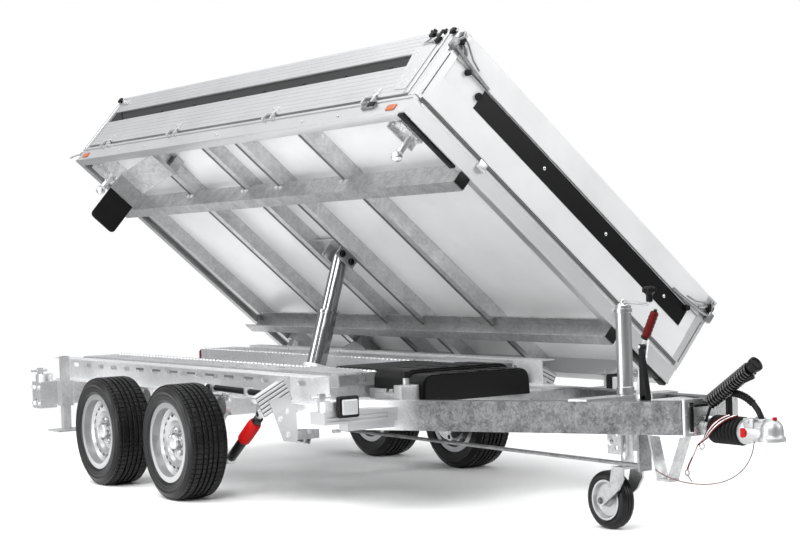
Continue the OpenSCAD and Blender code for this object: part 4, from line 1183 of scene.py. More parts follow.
class TIPPER_OT_tyres(bpy.types.Operator):
    """Road tyres with shaped sidewalls and a block tread, hub caps and wheel bolts, and the jockey tyre"""

    bl_idname = "tipper.tyres"
    bl_label = "Tyres"

    def execute(self, context):
        s = sizes()
        r, side_y, axle = s.tyre_radius, s.wheel_side, s.axle_x
        ring = self.road_section()
        tread = self.tread()
        cap = [(0.032, 0.050), (0.033, 0.058), (0.028, 0.064), (0.012, 0.066), (0, 0.066)]
        turns = [2 * math.pi * k / 5 + math.pi / 2 for k in range(5)]
        for name, x, side in (
            ("front_left", axle, 1.0),
            ("front_right", axle, -1.0),
            ("rear_left", -axle, 1.0),
            ("rear_right", -axle, -1.0),
        ):
            centre, out, wheel = (x, side * side_y, r), (0, side, 0), "wheel_" + name
            form = Form(on_ground())
            form.lathe(ring, centre, LEFT, 96, True)
            form.piece("sidewalls_" + name, "Tyre rubber", wheel, ("tyre_" + name,), "tyre", 50.0)
            data = tread.copy()
            data.transform(on_ground() @ Matrix.Translation(centre))
            shown("tread_" + name, data, wheel)
            form = Form(on_ground())
            form.lathe(cap, centre, out, 28)
            valve = side * (side_y + 0.03), side * (side_y + 0.062)
            form.rod((x, valve[0], r + 0.152), (x, valve[1], r + 0.147), 0.004, 10)
            form.piece("hub_cap_" + name, "Galvanised bright", wheel)
            y = side * (side_y + 0.043)
            spots = [((x + 0.056 * math.cos(turn), y, r + 0.056 * math.sin(turn)), out) for turn in turns]
            fasteners("wheel_bolts_" + name, spots, on_ground(), bolt(0.010), "Chrome rod", wheel)
        bpy.data.meshes.remove(tread)
        j = s.jockey_radius
        out = [(0.078, 0.026), (0.086, 0.030), (0.096, 0.032), (j - 0.009, 0.029), (j - 0.004, 0.024)]
        out += [(j - 0.001, 0.017), (j, 0.012), (j, 0.009)]
        out += [(j - 0.003, 0.007), (j - 0.003, 0.005), (j, 0.003)]
        ring = out + [(a, -b) for a, b in reversed(out)] + [(0.078, -0.026)]
        form = Form(on_ground())
        form.lathe(ring, (s.jockey_x - s.jockey_trail, 0, j), LEFT, 72, True)
        form.piece("jockey_rubber", "Tyre rubber", "jockey_wheel", ("jockey_tyre",), "tyre", 50.0)
        return {"FINISHED"}

    def road_section(self):
        """Section of a road tyre: sidewall, shoulder, tread grooves and the hollow inside."""
        s = sizes()
        half, base = s.tyre_width / 2, s.tyre_radius - 0.007
        out = [(0.166, 0.079), (0.1835, 0.0855), (0.186, 0.0905), (0.197, 0.0945), (0.199, 0.0942)]
        out += [(0.209, 0.0968), (0.216, half), (0.226, half - 0.001), (0.2275, half + 0.0002)]
        out += [(0.2305, half + 0.0002), (0.232, half - 0.0016), (0.241, 0.0935), (0.248, 0.0875)]
        out += [(0.2525, 0.0805), (0.2548, 0.0735), (base, 0.067)]
        for w in (0.036, 0.012):
            out += [(base, w + 0.0045), (base - 0.002, w + 0.0035)]
            out += [(base - 0.002, w - 0.0035), (base, w - 0.0045)]
        ring = out + [(a, -b) for a, b in reversed(out)]
        ring += [(0.166, -0.062), (0.2, -0.078), (0.242, -0.07)]
        return ring + [(0.242, 0.07), (0.2, 0.078), (0.166, 0.062)]

    def tread(self):
        """One wheel's tread blocks, round the origin."""
        r, count = sizes().tyre_radius, 68
        arc = 2 * math.pi * r / count
        sector = Form()
        edge = arc / 2 - 0.0011
        rows = [(-0.067, -0.041), (-0.0315, -0.0165), (-0.0075, 0.0075), (0.0165, 0.0315), (0.041, 0.067)]
        for low, high in rows:
            sector.block((-0.009, -edge, low), (0.0, edge, high), 0.0012, 1)
        edge = arc / 2 - 0.0014
        for w in (-0.0765, 0.0765):
            sector.block((-0.013, -edge, w - 0.0065), (-0.0035, edge, w + 0.0065), 0.0015, 1)
        source = pattern(sector)
        made = bake("tread", "Ring of blocks", "Tyre rubber", {"Block": source, "Count": count, "Radius": r})
        bpy.data.objects.remove(source)
        return made


class TIPPER_OT_chassis_trim(bpy.types.Operator):
    """Beaded edges, ribbed planks and arms, painted shade in slots and gaps, pipes, bolts and the tool tube of the
    chassis
    """

    bl_idname = "tipper.chassis_trim"
    bl_label = "Chassis trim"

    def execute(self, context):
        top = 0.576
        spots = [((-1.42 + 0.036 * k, side * 0.262, top), UP) for side in SIDES for k in range(73)]
        fasteners("beaded_edges", spots, on_ground(), rivet(0.012), "Galvanised bright", "chassis")
        plan = [(0.70, 0.285), (1.10, 0.285)]
        plan += [(1.10 + 0.11 * math.sin(t), 0.395 - 0.11 * math.cos(t)) for t in (0.4, 0.8, 1.2, 1.5)]
        plan += [(1.212, 0.468), (0.70, 0.468)]
        planks, dark = Form(on_ground()), Form(on_ground())
        for side in SIDES:
            form = planks.at(mirrored(side))
            form.extrude(plan, (0, 0, top), AHEAD, LEFT, (0, 0, 0.004))
            for k in range(8):
                y = 0.300 + k * 0.022
                reach = 1.10 + 0.1 * min(1.0, max(0.0, (y - 0.285) / 0.11))
                form.block((0.71, y - 0.006, top + 0.003), (reach, y + 0.006, top + 0.0065), 0.0012, 1)
            arm = form.at(ARM)
            for k in range(5):
                z = -0.036 + k * 0.018
                arm.block((0.039, 0.058, z - 0.006), (0.0435, 0.211, z + 0.006), 0.0015, 1)
            for k in range(4):
                arm.block((0.003 + k * 0.0095, 0.075, 0.046), (0.010 + k * 0.0095, 0.211, 0.050), 0.0012, 1)
            # Painted shade: dark strips stand for the shaded insides of the slots along the chassis side and the
            # gaps in the support arm.
            form = dark.at(mirrored(side))
            for k in range(7):
                x = -0.381 + 0.1855 * k
                form.block((x - 0.042, 0.638, 0.549), (x + 0.042, 0.6405, 0.559), 0.0)
            arm = form.at(ARM)
            arm.block((0.0385, 0.057, -0.046), (0.0405, 0.212, 0.046), 0.0)
            arm.block((0.002, 0.074, 0.0445), (0.0385, 0.212, 0.0475), 0.0)
        planks.piece("ribbed_planks", "Aluminium along", "chassis")
        dark.piece("slots_and_gaps", "Seam and shade grey", "chassis")
        self.pipes()
        spots = []
        for side in SIDES:
            out = (0, side, 0)
            spots += [((1.106, side * y, z), AHEAD) for y, z in ((0.662, 0.33), (0.665, 0.43), (0.70, 0.40))]
            spots += [((2.995, side * 0.095, z), AHEAD) for z in (0.425, 0.51)]
            for x, z in ((-0.025, 0.44), (0.025, 0.42), (-0.022, 0.345)):
                spots.append(((2.53 + x, side * 0.064, z), out))
            spots += [((-1.34 + x, side * 0.796, z), out) for x in (-0.035, 0.035) for z in (0.345, 0.43)]
            spots += [((x, side * 0.640, 0.468), UP) for x in (0.5, 0.57)]
        fasteners("chassis_bolts", spots, on_ground(), bolt(0.010), "Galvanised bright", "chassis")
        return {"FINISHED"}

    def pipes(self):
        """Tool tubes on the rails, and the hoses from the hood to the cylinder with their box."""
        black, bright = Form(on_ground()), Form(on_ground())
        for side in SIDES:
            y = side * 0.655
            black.rod((0.36, y, 0.500), (0.88, y, 0.493), 0.014, 18)
            bright.rod((0.345, y, 0.5002), (0.372, y, 0.4998), 0.016, 18)
            for x in (0.44, 0.76):
                bright.block((x - 0.012, y - 0.02, 0.478), (x + 0.012, y + 0.018, 0.514), 0.003)
        hose = [(1.38, -0.27, 0.46), (1.34, -0.24, 0.40), (1.20, -0.16, 0.352), (0.9, -0.05, 0.346)]
        hose += [(0.5, -0.02, 0.340), (0.22, 0.0, 0.285), (0.165, 0.0, 0.25)]
        black.tube(hose, 0.011)
        line = [(1.30, -0.27, 0.46), (1.26, -0.26, 0.41), (1.10, -0.22, 0.345), (0.75, -0.18, 0.325)]
        line += [(0.45, -0.2, 0.345), (0.3, -0.2, 0.398)]
        black.tube(line, 0.009)
        black.block((0.62, -0.12, 0.318), (0.86, 0.02, 0.372), 0.008)
        bright.block((0.66, -0.14, 0.300), (0.72, -0.06, 0.33), 0.004)
        bright.rod((0.78, -0.12, 0.315), (0.78, -0.05, 0.315), 0.016, 16)
        black.piece("tool_tube_and_pipes", "Black plastic", "chassis")
        bright.piece("pipe_clips", "Galvanised bright", "chassis")


class TIPPER_OT_dampers(bpy.types.Operator):
    """Wheel dampers: black body, red sleeve and bright eyes"""

    bl_idname = "tipper.dampers"
    bl_label = "Dampers"

    def execute(self, context):
        red, black, bright = (Form(on_ground()) for k in range(3))
        body = [(0.013, 0.0), (0.022, 0.02), (0.023, 0.18), (0.019, 0.19)]
        collar = [(0.016, 0.318), (0.021, 0.322), (0.021, 0.350), (0.014, 0.356)]
        sleeve = [(0.0, 0.165), (0.024, 0.166), (0.030, 0.174), (0.031, 0.20), (0.031, 0.285)]
        sleeve += [(0.029, 0.305), (0.022, 0.318), (0.0, 0.319)]
        for side in SIDES:
            low, high = Vector((0.5, side * 0.622, 0.172)), Vector((0.812, side * 0.622, 0.398))
            along = high - low
            black.lathe(body, low, along, 24)
            black.lathe(collar, low, along, 24)
            red.lathe(sleeve, low, along, 32)
            bright.rod(low + along * 0.8, high, 0.011, 16)
            for spot in (low, high):
                for form, half, radius, sides in ((bright, 0.022, 0.020, 24), (black, 0.0235, 0.012, 20)):
                    form.rod(spot - Vector((0, half, 0)), spot + Vector((0, half, 0)), radius, sides)
            bright.block((0.792, side * 0.600, 0.41), (0.832, side * 0.640, 0.461), 0.004)
            bright.rod(low + Vector((0, side * 0.02, 0)), low + Vector((0, side * 0.034, 0)), 0.010, 16)
        black.piece("damper_bodies", "Black paint", "chassis", ("shock_absorbers",), "red_paint")
        red.piece("damper_sleeves", "Red plastic", "chassis")
        bright.piece("damper_eyes", "Galvanised bright", "chassis")
        return {"FINISHED"}


class TIPPER_OT_pump(bpy.types.Operator):
    """Rounded pump hood and the valve block beside it"""

    bl_idname = "tipper.pump"
    bl_label = "Pump"

    def execute(self, context):
        form = Form(on_ground())
        low, right, left = 0.466, -0.31, 0.25
        for rear, front, tall in ((1.235, 1.486, 0.128), (1.48, 1.625, 0.112)):
            round_y, round_z = 0.05, 0.04
            shoulder = tall - round_z
            section = [(right, 0.0), (right + 0.004, shoulder)]
            for t in (0.3, 0.6, 0.9, 1.2, 1.5):
                section.append((right + 0.055 - round_y * math.cos(t), shoulder + round_z * math.sin(t)))
            for t in (0.1, 0.4, 0.7, 1.0, 1.3):
                section.append((left - 0.055 + round_y * math.sin(t), shoulder + round_z * math.cos(t)))
            section += [(left - 0.004, shoulder), (left, 0.0)]
            form.extrude(section, (rear + 0.012, 0, low), LEFT, UP, (front - rear - 0.024, 0, 0))
            small = [(0.97 * a - 0.001, 0.94 * b) for a, b in section]
            for x in (rear, front - 0.012):
                form.extrude(small, (x, 0, low), LEFT, UP, (0.012, 0, 0))
            z = low + tall
            for y in (-0.2, -0.1, 0.0, 0.1):
                form.block((rear + 0.03, y, z - 0.003), (front - 0.03, y + 0.04, z + 0.003), 0.002)
        form.block((0.80, -0.236, 0.530), (1.246, 0.205, 0.586), 0.020, 4)
        form.piece("rounded_hood", "Black plastic", "chassis", ("pump_box",), "black_plastic")
        form = Form(on_ground())
        form.block((1.535, -0.400, low), (1.595, -0.310, 0.54), 0.005)
        form.block((1.35, -0.372, low), (1.536, -0.312, 0.502), 0.005)
        form.block((1.24, -0.330, low), (1.36, -0.312, 0.512), 0.003)
        form.rod((1.565, -0.356, 0.538), (1.565, -0.356, 0.57), 0.014, 20)
        for x in (1.38, 1.43, 1.48):
            form.rod((x, -0.341, 0.498), (x, -0.341, 0.515), 0.011, 6)
        form.piece("valve_block", "Cast alloy", "chassis", ("pump_unit",), "cast")
        form = Form(on_ground())
        knob = [(0.017, 0.0), (0.02, 0.004), (0.02, 0.024), (0.016, 0.028), (0, 0.028)]
        form.lathe(knob, (1.565, -0.356, 0.57), UP, 24)
        form.piece("valve_knob", "Black plastic", "chassis")
        return {"FINISHED"}


class TIPPER_OT_lamps(bpy.types.Operator):
    """Front marker lamps and rear lamps"""

    bl_idname = "tipper.lamps"
    bl_label = "Lamps"

    def execute(self, context):
        black, clear, red, amber = (Form(on_ground()) for k in range(4))
        for form, low, high, soft, steps in (
            (black, (1.640, 0.652, 0.436), (1.672, 0.748, 0.524), 0.012, 4),
            (clear, (1.664, 0.664, 0.449), (1.680, 0.736, 0.511), 0.012, 4),
            (black, (-1.470, 0.255, 0.464), (-1.440, 0.465, 0.571), 0.006, 3),
            (red, (-1.495, 0.262, 0.472), (-1.465, 0.395, 0.563), 0.006, 3),
            (amber, (-1.495, 0.397, 0.472), (-1.465, 0.458, 0.563), 0.006, 3),
        ):
            for side in SIDES:
                form.at(mirrored(side)).block(low, high, soft, steps)
        black.piece("lamp_cases", "Black plastic", "chassis", ("marker_lamps", "rear_lamps"), "black_plastic")
        clear.piece("marker_lenses", "Clear lens", "chassis")
        red.piece("tail_lenses", "Red lens", "chassis")
        amber.piece("turn_lenses", "Amber lens", "chassis")
        return {"FINISHED"}


# Coupling, brake and jockey wheel


class TIPPER_OT_coupling(bpy.types.Operator):
    """Cast ball coupling, ribbed bellows, curved handle, parked curly cable with its plug"""

    bl_idname = "tipper.coupling"
    bl_label = "Coupling"

    def execute(self, context):
        axis = 0.422
        self.head(axis)
        self.wires(axis)
        profile = [(0.036, 0.0)]
        for k in range(8):
            low = 0.004 + k * 0.018
            profile += [(0.041, low), (0.047, low + 0.003), (0.0515, low + 0.008)]
            profile += [(0.0515, low + 0.010), (0.047, low + 0.015)]
        profile += [(0.041, 0.147), (0.036, 0.149)]
        form = Form(on_ground())
        form.lathe(profile, (3.011, 0, axis), AHEAD, 40)
        form.piece("ribbed_bellows", "Black rubber", "chassis", ("bellows",), "rubber", 60.0)
        self.handle()
        self.lighting_cable()
        return {"FINISHED"}

    def head(self, axis):
        """The drawbar's rod, its cone, the cast cup over the ball and the red marks."""
        form = Form(on_ground())
        form.rod((3.011, 0, axis), (3.17, 0, axis), 0.030, 28)
        cone = [(0.0, 0.0), (0.043, 0.001), (0.045, 0.004), (0.045, 0.018), (0.040, 0.024)]
        cone += [(0.037, 0.05), (0.033, 0.09), (0.030, 0.115), (0.0, 0.118)]
        form.lathe(cone, (3.160, 0, axis), AHEAD, 36)
        ball, cup = (3.29, 0, 0.395), 0.040
        dome = [(0.0253, 0.0), (0.046, 0.0), (0.048, 0.002), (0.048, 0.013)]
        dome += [(0.043, 0.017), (cup, 0.025), (cup, cup)]
        dome += [(cup * math.cos(t), cup + cup * math.sin(t)) for t in (0.25, 0.5, 0.75, 1.0, 1.25, 1.45)]
        form.lathe(dome + [(0.0, 2 * cup)], ball, UP, 48)
        form.lathe([(0.0253, 0.0), (0.0253, 0.035)], ball, UP, 48)
        form.block((3.215, -0.029, 0.409), (3.29, 0.029, 0.462), 0.008, 3)
        form.block((3.178, -0.014, 0.44), (3.262, 0.014, 0.472), 0.006, 3)
        for y in (-0.034, 0.026):
            form.block((3.185, y, 0.438), (3.232, y + 0.008, 0.474), 0.003, 2)
        form.rod((3.208, -0.038, 0.462), (3.208, 0.038, 0.462), 0.007, 16)
        form.piece("cast_head", "Cast alloy", "chassis", ("coupling_head",), "cast")
        form = Form(on_ground())
        for side in SIDES:
            form.rod((3.188, side * 0.030, axis), (3.188, side * 0.043, axis), 0.017, 28)
        form.rod((3.305, 0, 0.470), (3.305, 0, 0.480), 0.008, 16)
        form.piece("red_marks", "Red plastic", "chassis")

    def wires(self, axis):
        """Loose wires over the bellows that gather to a thin line, its rings and its clip."""
        red, pale, rings = (Form(on_ground()) for k in range(3))
        over = 0.0585
        for k in range(5):
            path = []
            for j in range(13):
                t = j / 12
                turn = 1.9 + 1.75 * t
                spread = 0.014 * (k - 2) * (1.0 - 0.75 * t)
                y, z = over * math.cos(turn), axis + over * math.sin(turn)
                path.append((3.120 - 0.105 * t + spread, y, z))
            path += [(2.988, -0.066, axis - 0.055), (2.972, -0.078, axis - 0.10)]
            form = pale if k in (1, 3) else red
            form.tube(path, 0.0028, 8)
        line = [(2.972, -0.078, axis - 0.098), (2.962, -0.086, axis - 0.125), (2.958, -0.090, axis - 0.142)]
        red.tube(line, 0.003, 8)
        for x, y, z, radius in ((3.004, -0.060, 0.365, 0.012), (2.957, -0.091, 0.268, 0.010)):
            turns = [2 * math.pi * j / 24 for j in range(25)]
            loop = [(x + radius * math.cos(t), y, z + radius * math.sin(t)) for t in turns]
            rings.tube(loop, 0.0025, 8)
        red.piece("red_wires", "Dark red", "chassis")
        pale.piece("pale_wires", "Galvanised bright", "chassis")
        rings.rod((2.957, -0.091, 0.262), (2.988, -0.098, 0.239), 0.0028, 10)
        rings.piece("rings", "Latch grey", "chassis")

    def handle(self):
        """The coupling's curved handle with its ribbed grip."""
        form = Form(on_ground())
        bend = [(3.244, 0.452), (3.240, 0.478), (3.226, 0.500), (3.204, 0.522)]
        bend += [(3.172, 0.541), (3.140, 0.551), (3.105, 0.555)]
        path = [Vector((x, 0, z)) for x, z in bend]
        form.tube(path, 0.0105, 14)
        for a, b in zip(path[3:], path[4:]):
            ahead = (b - a).normalized()
            for k in range(3):
                spot = a.lerp(b, (k + 0.5) / 3)
                form.rod(spot - ahead * 0.0035, spot + ahead * 0.0035, 0.0135, 16)
        end = [(0.0135, -0.004), (0.0125, 0.003), (0.008, 0.008), (0, 0.0095)]
        form.lathe(end, path[-1], path[-1] - path[-2], 16)
        form.piece("curved_handle", "Black plastic", "chassis", ("coupling_handle",), "black_plastic")

    def lighting_cable(self):
        """The curly lighting cable wound on its holder, and its plug."""
        low, high = Vector((3.025, -0.030, 0.522)), Vector((3.205, -0.010, 0.645))
        along = high - low
        values = {"Turns": 17.0, "Coil radius": 0.0225, "Length": along.length, "Wire radius": 0.0056}
        data = bake("curly_cable", "Curly cable", "Cable black", values)
        turn = Vector(UP).rotation_difference(along).to_matrix().to_4x4()
        data.transform(on_ground() @ Matrix.Translation(low) @ turn)
        shown("curly_cable", data, "chassis", ("cable_coil",), 60.0)
        form = Form(on_ground())
        form.rod(low, high, 0.0125, 16)
        plug = [(0.0, -0.002), (0.020, 0.0), (0.0235, 0.004), (0.0235, 0.016), (0.026, 0.018)]
        plug += [(0.027, 0.022), (0.027, 0.033), (0.022, 0.036), (0.018, 0.030), (0.0, 0.030)]
        form.lathe(plug, high, along, 28)
        side = along.cross(Vector(LEFT)).normalized()
        form.rod(high - along * 0.25 - side * 0.018, high - along * 0.02 - side * 0.030, 0.009, 14)
        form.block((2.995, -0.042, 0.510), (3.040, -0.018, 0.523), 0.003)
        form.block((3.078, -0.012, 0.470), (3.090, 0.012, 0.545), 0.003)
        lead = [(2.996, -0.03, 0.45), (3.02, -0.045, 0.47), (3.03, -0.04, 0.50), (3.026, -0.031, 0.52)]
        form.tube(lead, 0.005, 10)
        form.block((3.000, -0.112, 0.418), (3.008, -0.098, 0.524), 0.002)
        form.block((3.000, -0.112, 0.508), (3.030, -0.030, 0.518), 0.002)
        form.piece("plug_and_holder", "Black plastic", "chassis")


class TIPPER_OT_handbrake(bpy.types.Operator):
    """Red brake grip, the black tapered shroud of its spring and the pins"""

    bl_idname = "tipper.handbrake"
    bl_label = "Handbrake"

    def execute(self, context):
        low, high = Vector((2.760, -0.094, 0.750)), Vector((2.815, -0.094, 0.844))
        along = high - low
        size = along.length
        profile = [(0.0, -0.004), (0.012, -0.003), (0.0145, 0.002)]
        for k in range(5):
            at = 0.014 + k * 0.016
            profile += [(0.0162, at), (0.0168, at + 0.004), (0.0162, at + 0.008), (0.0148, at + 0.012)]
        profile += [(0.016, size - 0.016), (0.0155, size - 0.007), (0.010, size - 0.001), (0.0, size)]
        form = Form(on_ground())
        form.lathe(profile, low, along, 28)
        form.piece("ribbed_grip", "Dark red", "chassis", ("handbrake_grip",), "red_plastic", 60.0)
        form = Form(on_ground())
        form.rod(high - along * 0.02, high + along * 0.07, 0.0065, 14)
        form.lathe([(0.0, -0.006), (0.0175, -0.005), (0.0175, 0.002), (0.013, 0.004)], low, along, 24)
        wedge = [(2.752, 0.716), (2.762, 0.716), (2.792, 0.530)]
        wedge += [(2.790, 0.512), (2.754, 0.512), (2.752, 0.530)]
        form.extrude(wedge, (0, -0.124, 0), AHEAD, UP, (0, 0.020, 0))
        form.rod((2.756, -0.124, 0.715), (2.756, -0.098, 0.715), 0.010, 18)
        form.rod((2.772, -0.124, 0.530), (2.772, -0.100, 0.530), 0.010, 18)
        form.piece("brake_shroud", "Black plastic", "chassis", ("handbrake_strut",), "black_plastic")
        form = Form(on_ground())
        form.rod((2.756, -0.128, 0.715), (2.756, -0.088, 0.715), 0.006, 14)
        form.rod((2.713, -0.104, 0.528), (2.713, -0.084, 0.528), 0.009, 6)
        form.piece("brake_pins", "Galvanised bright", "chassis")
        return {"FINISHED"}


class TIPPER_OT_jockey(bpy.types.Operator):
    """Column, collars, crank and lobed knob of the jockey wheel, and the fork's bolts"""

    bl_idname = "tipper.jockey"
    bl_label = "Jockey"

    def execute(self, context):
        s = sizes()
        x, foot, top = s.jockey_x, 0.430, 0.862
        tall = top - foot
        shell = [(0.0262, 0.0), (0.030, 0.001), (0.030, tall - 0.003), (0.027, tall), (0.0, tall)]
        bore = [(0.0262, 0.0), (0.0262, 0.34), (0.0, 0.34)]
        upper = [(0.030, 0.0), (0.0335, 0.002), (0.0335, 0.016), (0.030, 0.018)]
        lower = [(0.030, 0.0), (0.034, 0.003), (0.034, 0.026), (0.030, 0.029)]
        cap = [(0.0, 0.0), (0.022, 0.0), (0.020, 0.006), (0.012, 0.008)]
        cap += [(0.012, 0.018), (0.008, 0.022), (0, 0.022)]
        form = Form(on_ground() @ Matrix.Translation((x, 0, 0)))
        for profile, z, sides in (
            (shell, foot, 40),
            (bore, foot, 40),
            (upper, top - 0.03, 40),
            (lower, 0.524, 40),
            (cap, top, 28),
        ):
            form.lathe(profile, (0, 0, z), UP, sides)
        crank = [(-0.004, 0.010), (0.03, 0.011), (0.09, 0.006), (0.14, 0.004), (0.15, 0.012), (0.15, 0.03)]
        form.tube([(a, 0, top + b) for a, b in crank], 0.0062, 14)
        form.piece("bright_column", "Brushed zinc", "chassis", ("jockey_tube",), "galvanised")
        form = Form(on_ground() @ Matrix.Translation((x + 0.15, 0, top + 0.012)))
        knob = [(0.010, 0.0), (0.0125, 0.003), (0.0125, 0.026), (0.017, 0.032), (0.022, 0.036)]
        knob += [(0.0225, 0.052), (0.018, 0.058), (0.0, 0.0585)]
        form.lathe(knob, (0, 0, 0), UP, 32)
        for a, b in circle(8):
            form.rod((0.020 * a, 0.020 * b, 0.036), (0.020 * a, 0.020 * b, 0.052), 0.0065, 12)
        form.piece("crank_knob", "Black plastic", "chassis")
        spots = [((x - s.jockey_trail, side * 0.052, s.jockey_radius), (0, side, 0)) for side in SIDES]
        fasteners("fork_bolts", spots, on_ground(), bolt(0.010), "Seam and shade grey", "jockey_fork")
        return {"FINISHED"}


class TIPPER_OT_cable(bpy.types.Operator):
    """Thin safety cable that hangs from the coupling to the drawbar"""

    bl_idname = "tipper.cable"
    bl_label = "Safety cable"

    def execute(self, context):
        exit_point, drop = Vector((3.230, -0.026, 0.3944)), Vector((3.235, -0.060, 0.200))
        rise, end = Vector((2.960, -0.130, 0.215)), Vector((2.789, -0.092, 0.265))
        radius = 0.0022
        points = []
        for k in range(25):
            t = k / 24
            near = exit_point * (1 - t) ** 3 + drop * 3 * t * (1 - t) ** 2
            points.append(on_ground() @ (near + rise * 3 * t * t * (1 - t) + end * t**3))
        curve = bpy.data.curves.new("safety_cable", "CURVE")
        curve.dimensions = "3D"
        curve.bevel_depth = radius
        curve.bevel_resolution = 4
        curve.use_fill_caps = True
        spline = curve.splines.new("POLY")
        spline.points.add(len(points) - 1)
        for k, point in enumerate(points):
            spline.points[k].co = (*point, 1.0)
        curve.materials.append(bpy.data.materials["Cable sheath"])
        cable = bpy.data.objects.new("safety_cable", curve)
        context.scene.collection.objects.link(cable)
        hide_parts("breakaway_cable")
        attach(cable, "chassis")
        return {"FINISHED"}


# Studio


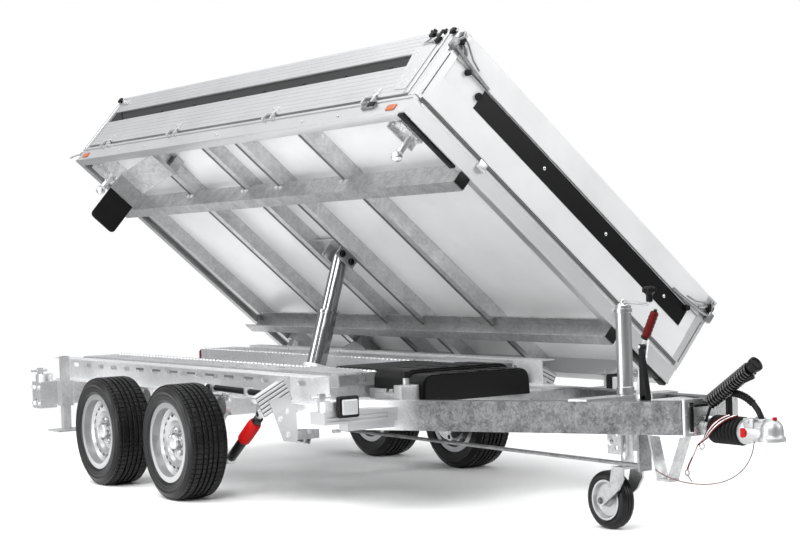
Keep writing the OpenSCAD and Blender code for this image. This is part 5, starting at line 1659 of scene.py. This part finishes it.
class TIPPER_OT_stage(bpy.types.Operator):
    """Camera of the photograph, studio floor, soft lamps and white surround"""

    bl_idname = "tipper.stage"
    bl_label = "Stage"

    def execute(self, context):
        scene = context.scene
        scene.view_settings.view_transform = "Standard"
        ahead = self.camera(scene)
        form = Form(on_ground())
        wide, thick = 60.0, 0.02
        section = [(-wide, 0.0), (wide, 0.0), (wide, -thick), (-wide, -thick)]
        form.extrude(section, (-wide, 0, 0), LEFT, UP, (2 * wide, 0, 0))
        ground = bpy.data.objects.new("studio_floor", form.end("studio_floor"))
        scene.collection.objects.link(ground)
        self.floor_finish()
        ground.data.materials.append(bpy.data.materials["Studio floor"])
        for name, place, target, wide, watts in (
            ("key_lamp", (6.0, -6.0, 6.5), (0.2, 0.0, 0.8), 5.0, 520.0),
            ("side_lamp", (-3.5, -8.0, 5.0), (-0.2, 0.0, 0.9), 4.0, 260.0),
            ("fill_lamp", (8.0, 5.0, 4.5), (0.6, 0.4, 0.8), 4.0, 240.0),
            ("roof_lamp", (0.8, -0.8, 7.5), (0.8, -0.8, 0.0), 11.0, 680.0),
            ("low_lamp", (1.0, -7.5, 1.3), (0.0, -0.2, 0.9), 3.5, 250.0),
        ):
            lamp = bpy.data.lights.new(name, "AREA")
            lamp.energy = watts
            lamp.size = wide
            holder = bpy.data.objects.new(name, lamp)
            where = on_ground() @ Vector(place)
            aim = on_ground() @ Vector(target) - where
            turn = aim.to_track_quat("-Z", "Y").to_matrix().to_4x4()
            holder.matrix_world = Matrix.Translation(where) @ turn
            scene.collection.objects.link(holder)
        self.surround(scene, ahead)
        return {"FINISHED"}

    def camera(self, scene):
        """The camera solved on the photograph. Returns the way it looks."""
        yaw, pitch, roll = (math.radians(v) for v in (146.45, -1.18, -1.85))
        focal_pixels, photo_width, sensor = 1788.1, 800.0, 36.0
        ahead = Vector((math.cos(yaw) * math.cos(pitch), math.sin(yaw) * math.cos(pitch), math.sin(pitch)))
        level = ahead.cross(Vector(UP)).normalized()
        upright = level.cross(ahead)
        right = level * math.cos(roll) + upright * math.sin(roll)
        top = upright * math.cos(roll) - level * math.sin(roll)
        eye = on_ground() @ Vector((7.707, -4.460, 1.084))
        camera = bpy.data.objects.new("photo_camera", bpy.data.cameras.new("photo_camera"))
        rows = [(right[i], top[i], -ahead[i], eye[i]) for i in range(3)] + [(0, 0, 0, 1)]
        camera.matrix_world = Matrix(rows)
        camera.data.sensor_width = sensor
        camera.data.sensor_fit = "HORIZONTAL"
        camera.data.lens = focal_pixels * sensor / photo_width
        camera.data.shift_x = 0.004
        camera.data.shift_y = 0.015
        camera.data.clip_end = 200.0
        scene.collection.objects.link(camera)
        scene.camera = camera
        return ahead

    def surround(self, scene, ahead):
        """White to the camera; as a light, brighter above and dimmer behind the camera."""
        world = bpy.data.worlds.new("white_studio")
        world.use_nodes = True
        tree = world.node_tree
        light = tree.nodes["Background"]
        light.inputs["Color"].default_value = (0.98, 0.99, 1.0, 1.0)
        place = add(tree, "ShaderNodeTexCoord")
        split = add(tree, "ShaderNodeSeparateXYZ")
        level = add(tree, "ShaderNodeMapRange", in_From_Min=-0.1, in_From_Max=0.75)
        level.inputs["To Min"].default_value = 0.28
        level.inputs["To Max"].default_value = 0.90
        aside = add(tree, "ShaderNodeVectorMath", operation="DOT_PRODUCT")
        aside.inputs[1].default_value = -ahead
        shade = add(tree, "ShaderNodeMapRange", interpolation_type="SMOOTHSTEP", in_To_Min=1.0, in_To_Max=0.5)
        shade.inputs["From Min"].default_value = 0.1
        shade.inputs["From Max"].default_value = 0.95
        seen = add(tree, "ShaderNodeBackground", in_Color=(1.0, 1.0, 1.0, 1.0), in_Strength=1.0)
        path = add(tree, "ShaderNodeLightPath")
        choose = add(tree, "ShaderNodeMixShader")
        wire(
            tree,
            (place, "Generated", split, 0),
            (split, "Z", level, "Value"),
            (place, "Generated", aside, 0),
            (aside, "Value", shade, "Value"),
            (path, "Is Camera Ray", choose, "Fac"),
            (light, 0, choose, 1),
            (seen, 0, choose, 2),
            (choose, 0, tree.nodes["World Output"], "Surface"),
        )
        strength = math_node(tree, "MULTIPLY", level.outputs["Result"], shade.outputs["Result"])
        tree.links.new(strength, light.inputs["Strength"])
        scene.world = world

    def floor_finish(self):
        """A pale matt floor that fades to white away from the trailer."""
        tree, shader = new_finish("Studio floor")
        cloud = add(tree, "ShaderNodeTexNoise", in_Scale=0.6, in_Detail=2.0)
        place = add(tree, "ShaderNodeTexCoord")
        tone = mix_colours(tree, cloud.outputs["Fac"], *toned(colours().backdrop, 0.99, 1.02))
        tree.links.new(tone, shader.inputs["Base Color"])
        shader.inputs["Roughness"].default_value = 0.8
        shader.inputs["Specular IOR Level"].default_value = 0.0
        middle = add(tree, "ShaderNodeVectorMath", operation="DISTANCE")
        middle.inputs[1].default_value = on_ground() @ Vector((0.9, 0.0, 0.0))
        fade = add(tree, "ShaderNodeMapRange", interpolation_type="SMOOTHSTEP")
        fade.inputs["From Min"].default_value = 2.6
        fade.inputs["From Max"].default_value = 5.0
        clear = add(tree, "ShaderNodeBsdfTransparent")
        blend = add(tree, "ShaderNodeMixShader")
        wire(
            tree,
            (place, "Object", cloud, "Vector"),
            (place, "Object", middle, 0),
            (middle, "Value", fade, "Value"),
            (fade, "Result", blend, "Fac"),
            (shader, 0, blend, 1),
            (clear, 0, blend, 2),
            (blend, 0, tree.nodes["Material Output"], "Surface"),
        )


class TIPPER_PT_panel(bpy.types.Panel):
    """Lists the trailer's sizes, colours and steps"""

    bl_idname = "TIPPER_PT_panel"
    bl_label = "Tipper trailer"
    bl_space_type = "VIEW_3D"
    bl_region_type = "UI"
    bl_category = "Tipper"

    def draw(self, context):
        for group in (context.scene.tipper_sizes, context.scene.tipper_colours):
            box = self.layout.box()
            for key in group.__annotations__:
                box.prop(group, key)
        for step in STEPS:
            self.layout.operator(step.bl_idname)


STEPS = (
    TIPPER_OT_finishes,
    TIPPER_OT_stage,
    TIPPER_OT_cable,
    TIPPER_OT_trees,
    TIPPER_OT_boards,
    TIPPER_OT_bed_frame,
    TIPPER_OT_front_board,
    TIPPER_OT_latches,
    TIPPER_OT_underside,
    TIPPER_OT_lift,
    TIPPER_OT_tyres,
    TIPPER_OT_chassis_trim,
    TIPPER_OT_dampers,
    TIPPER_OT_pump,
    TIPPER_OT_lamps,
    TIPPER_OT_coupling,
    TIPPER_OT_handbrake,
    TIPPER_OT_jockey,
)
CLASSES = (TipperSizes, TipperColours, *STEPS, TIPPER_PT_panel)


def register():
    for kind in CLASSES:
        bpy.utils.register_class(kind)
    bpy.types.Scene.tipper_sizes = bpy.props.PointerProperty(type=TipperSizes)
    bpy.types.Scene.tipper_colours = bpy.props.PointerProperty(type=TipperColours)


def unregister():
    del bpy.types.Scene.tipper_colours
    del bpy.types.Scene.tipper_sizes
    for kind in reversed(CLASSES):
        bpy.utils.unregister_class(kind)


def main():
    register()
    for step in STEPS:
        group, call = step.bl_idname.split(".")
        getattr(getattr(bpy.ops, group), call)()
    bpy.context.view_layer.update()


if __name__ == "__main__":
    main()
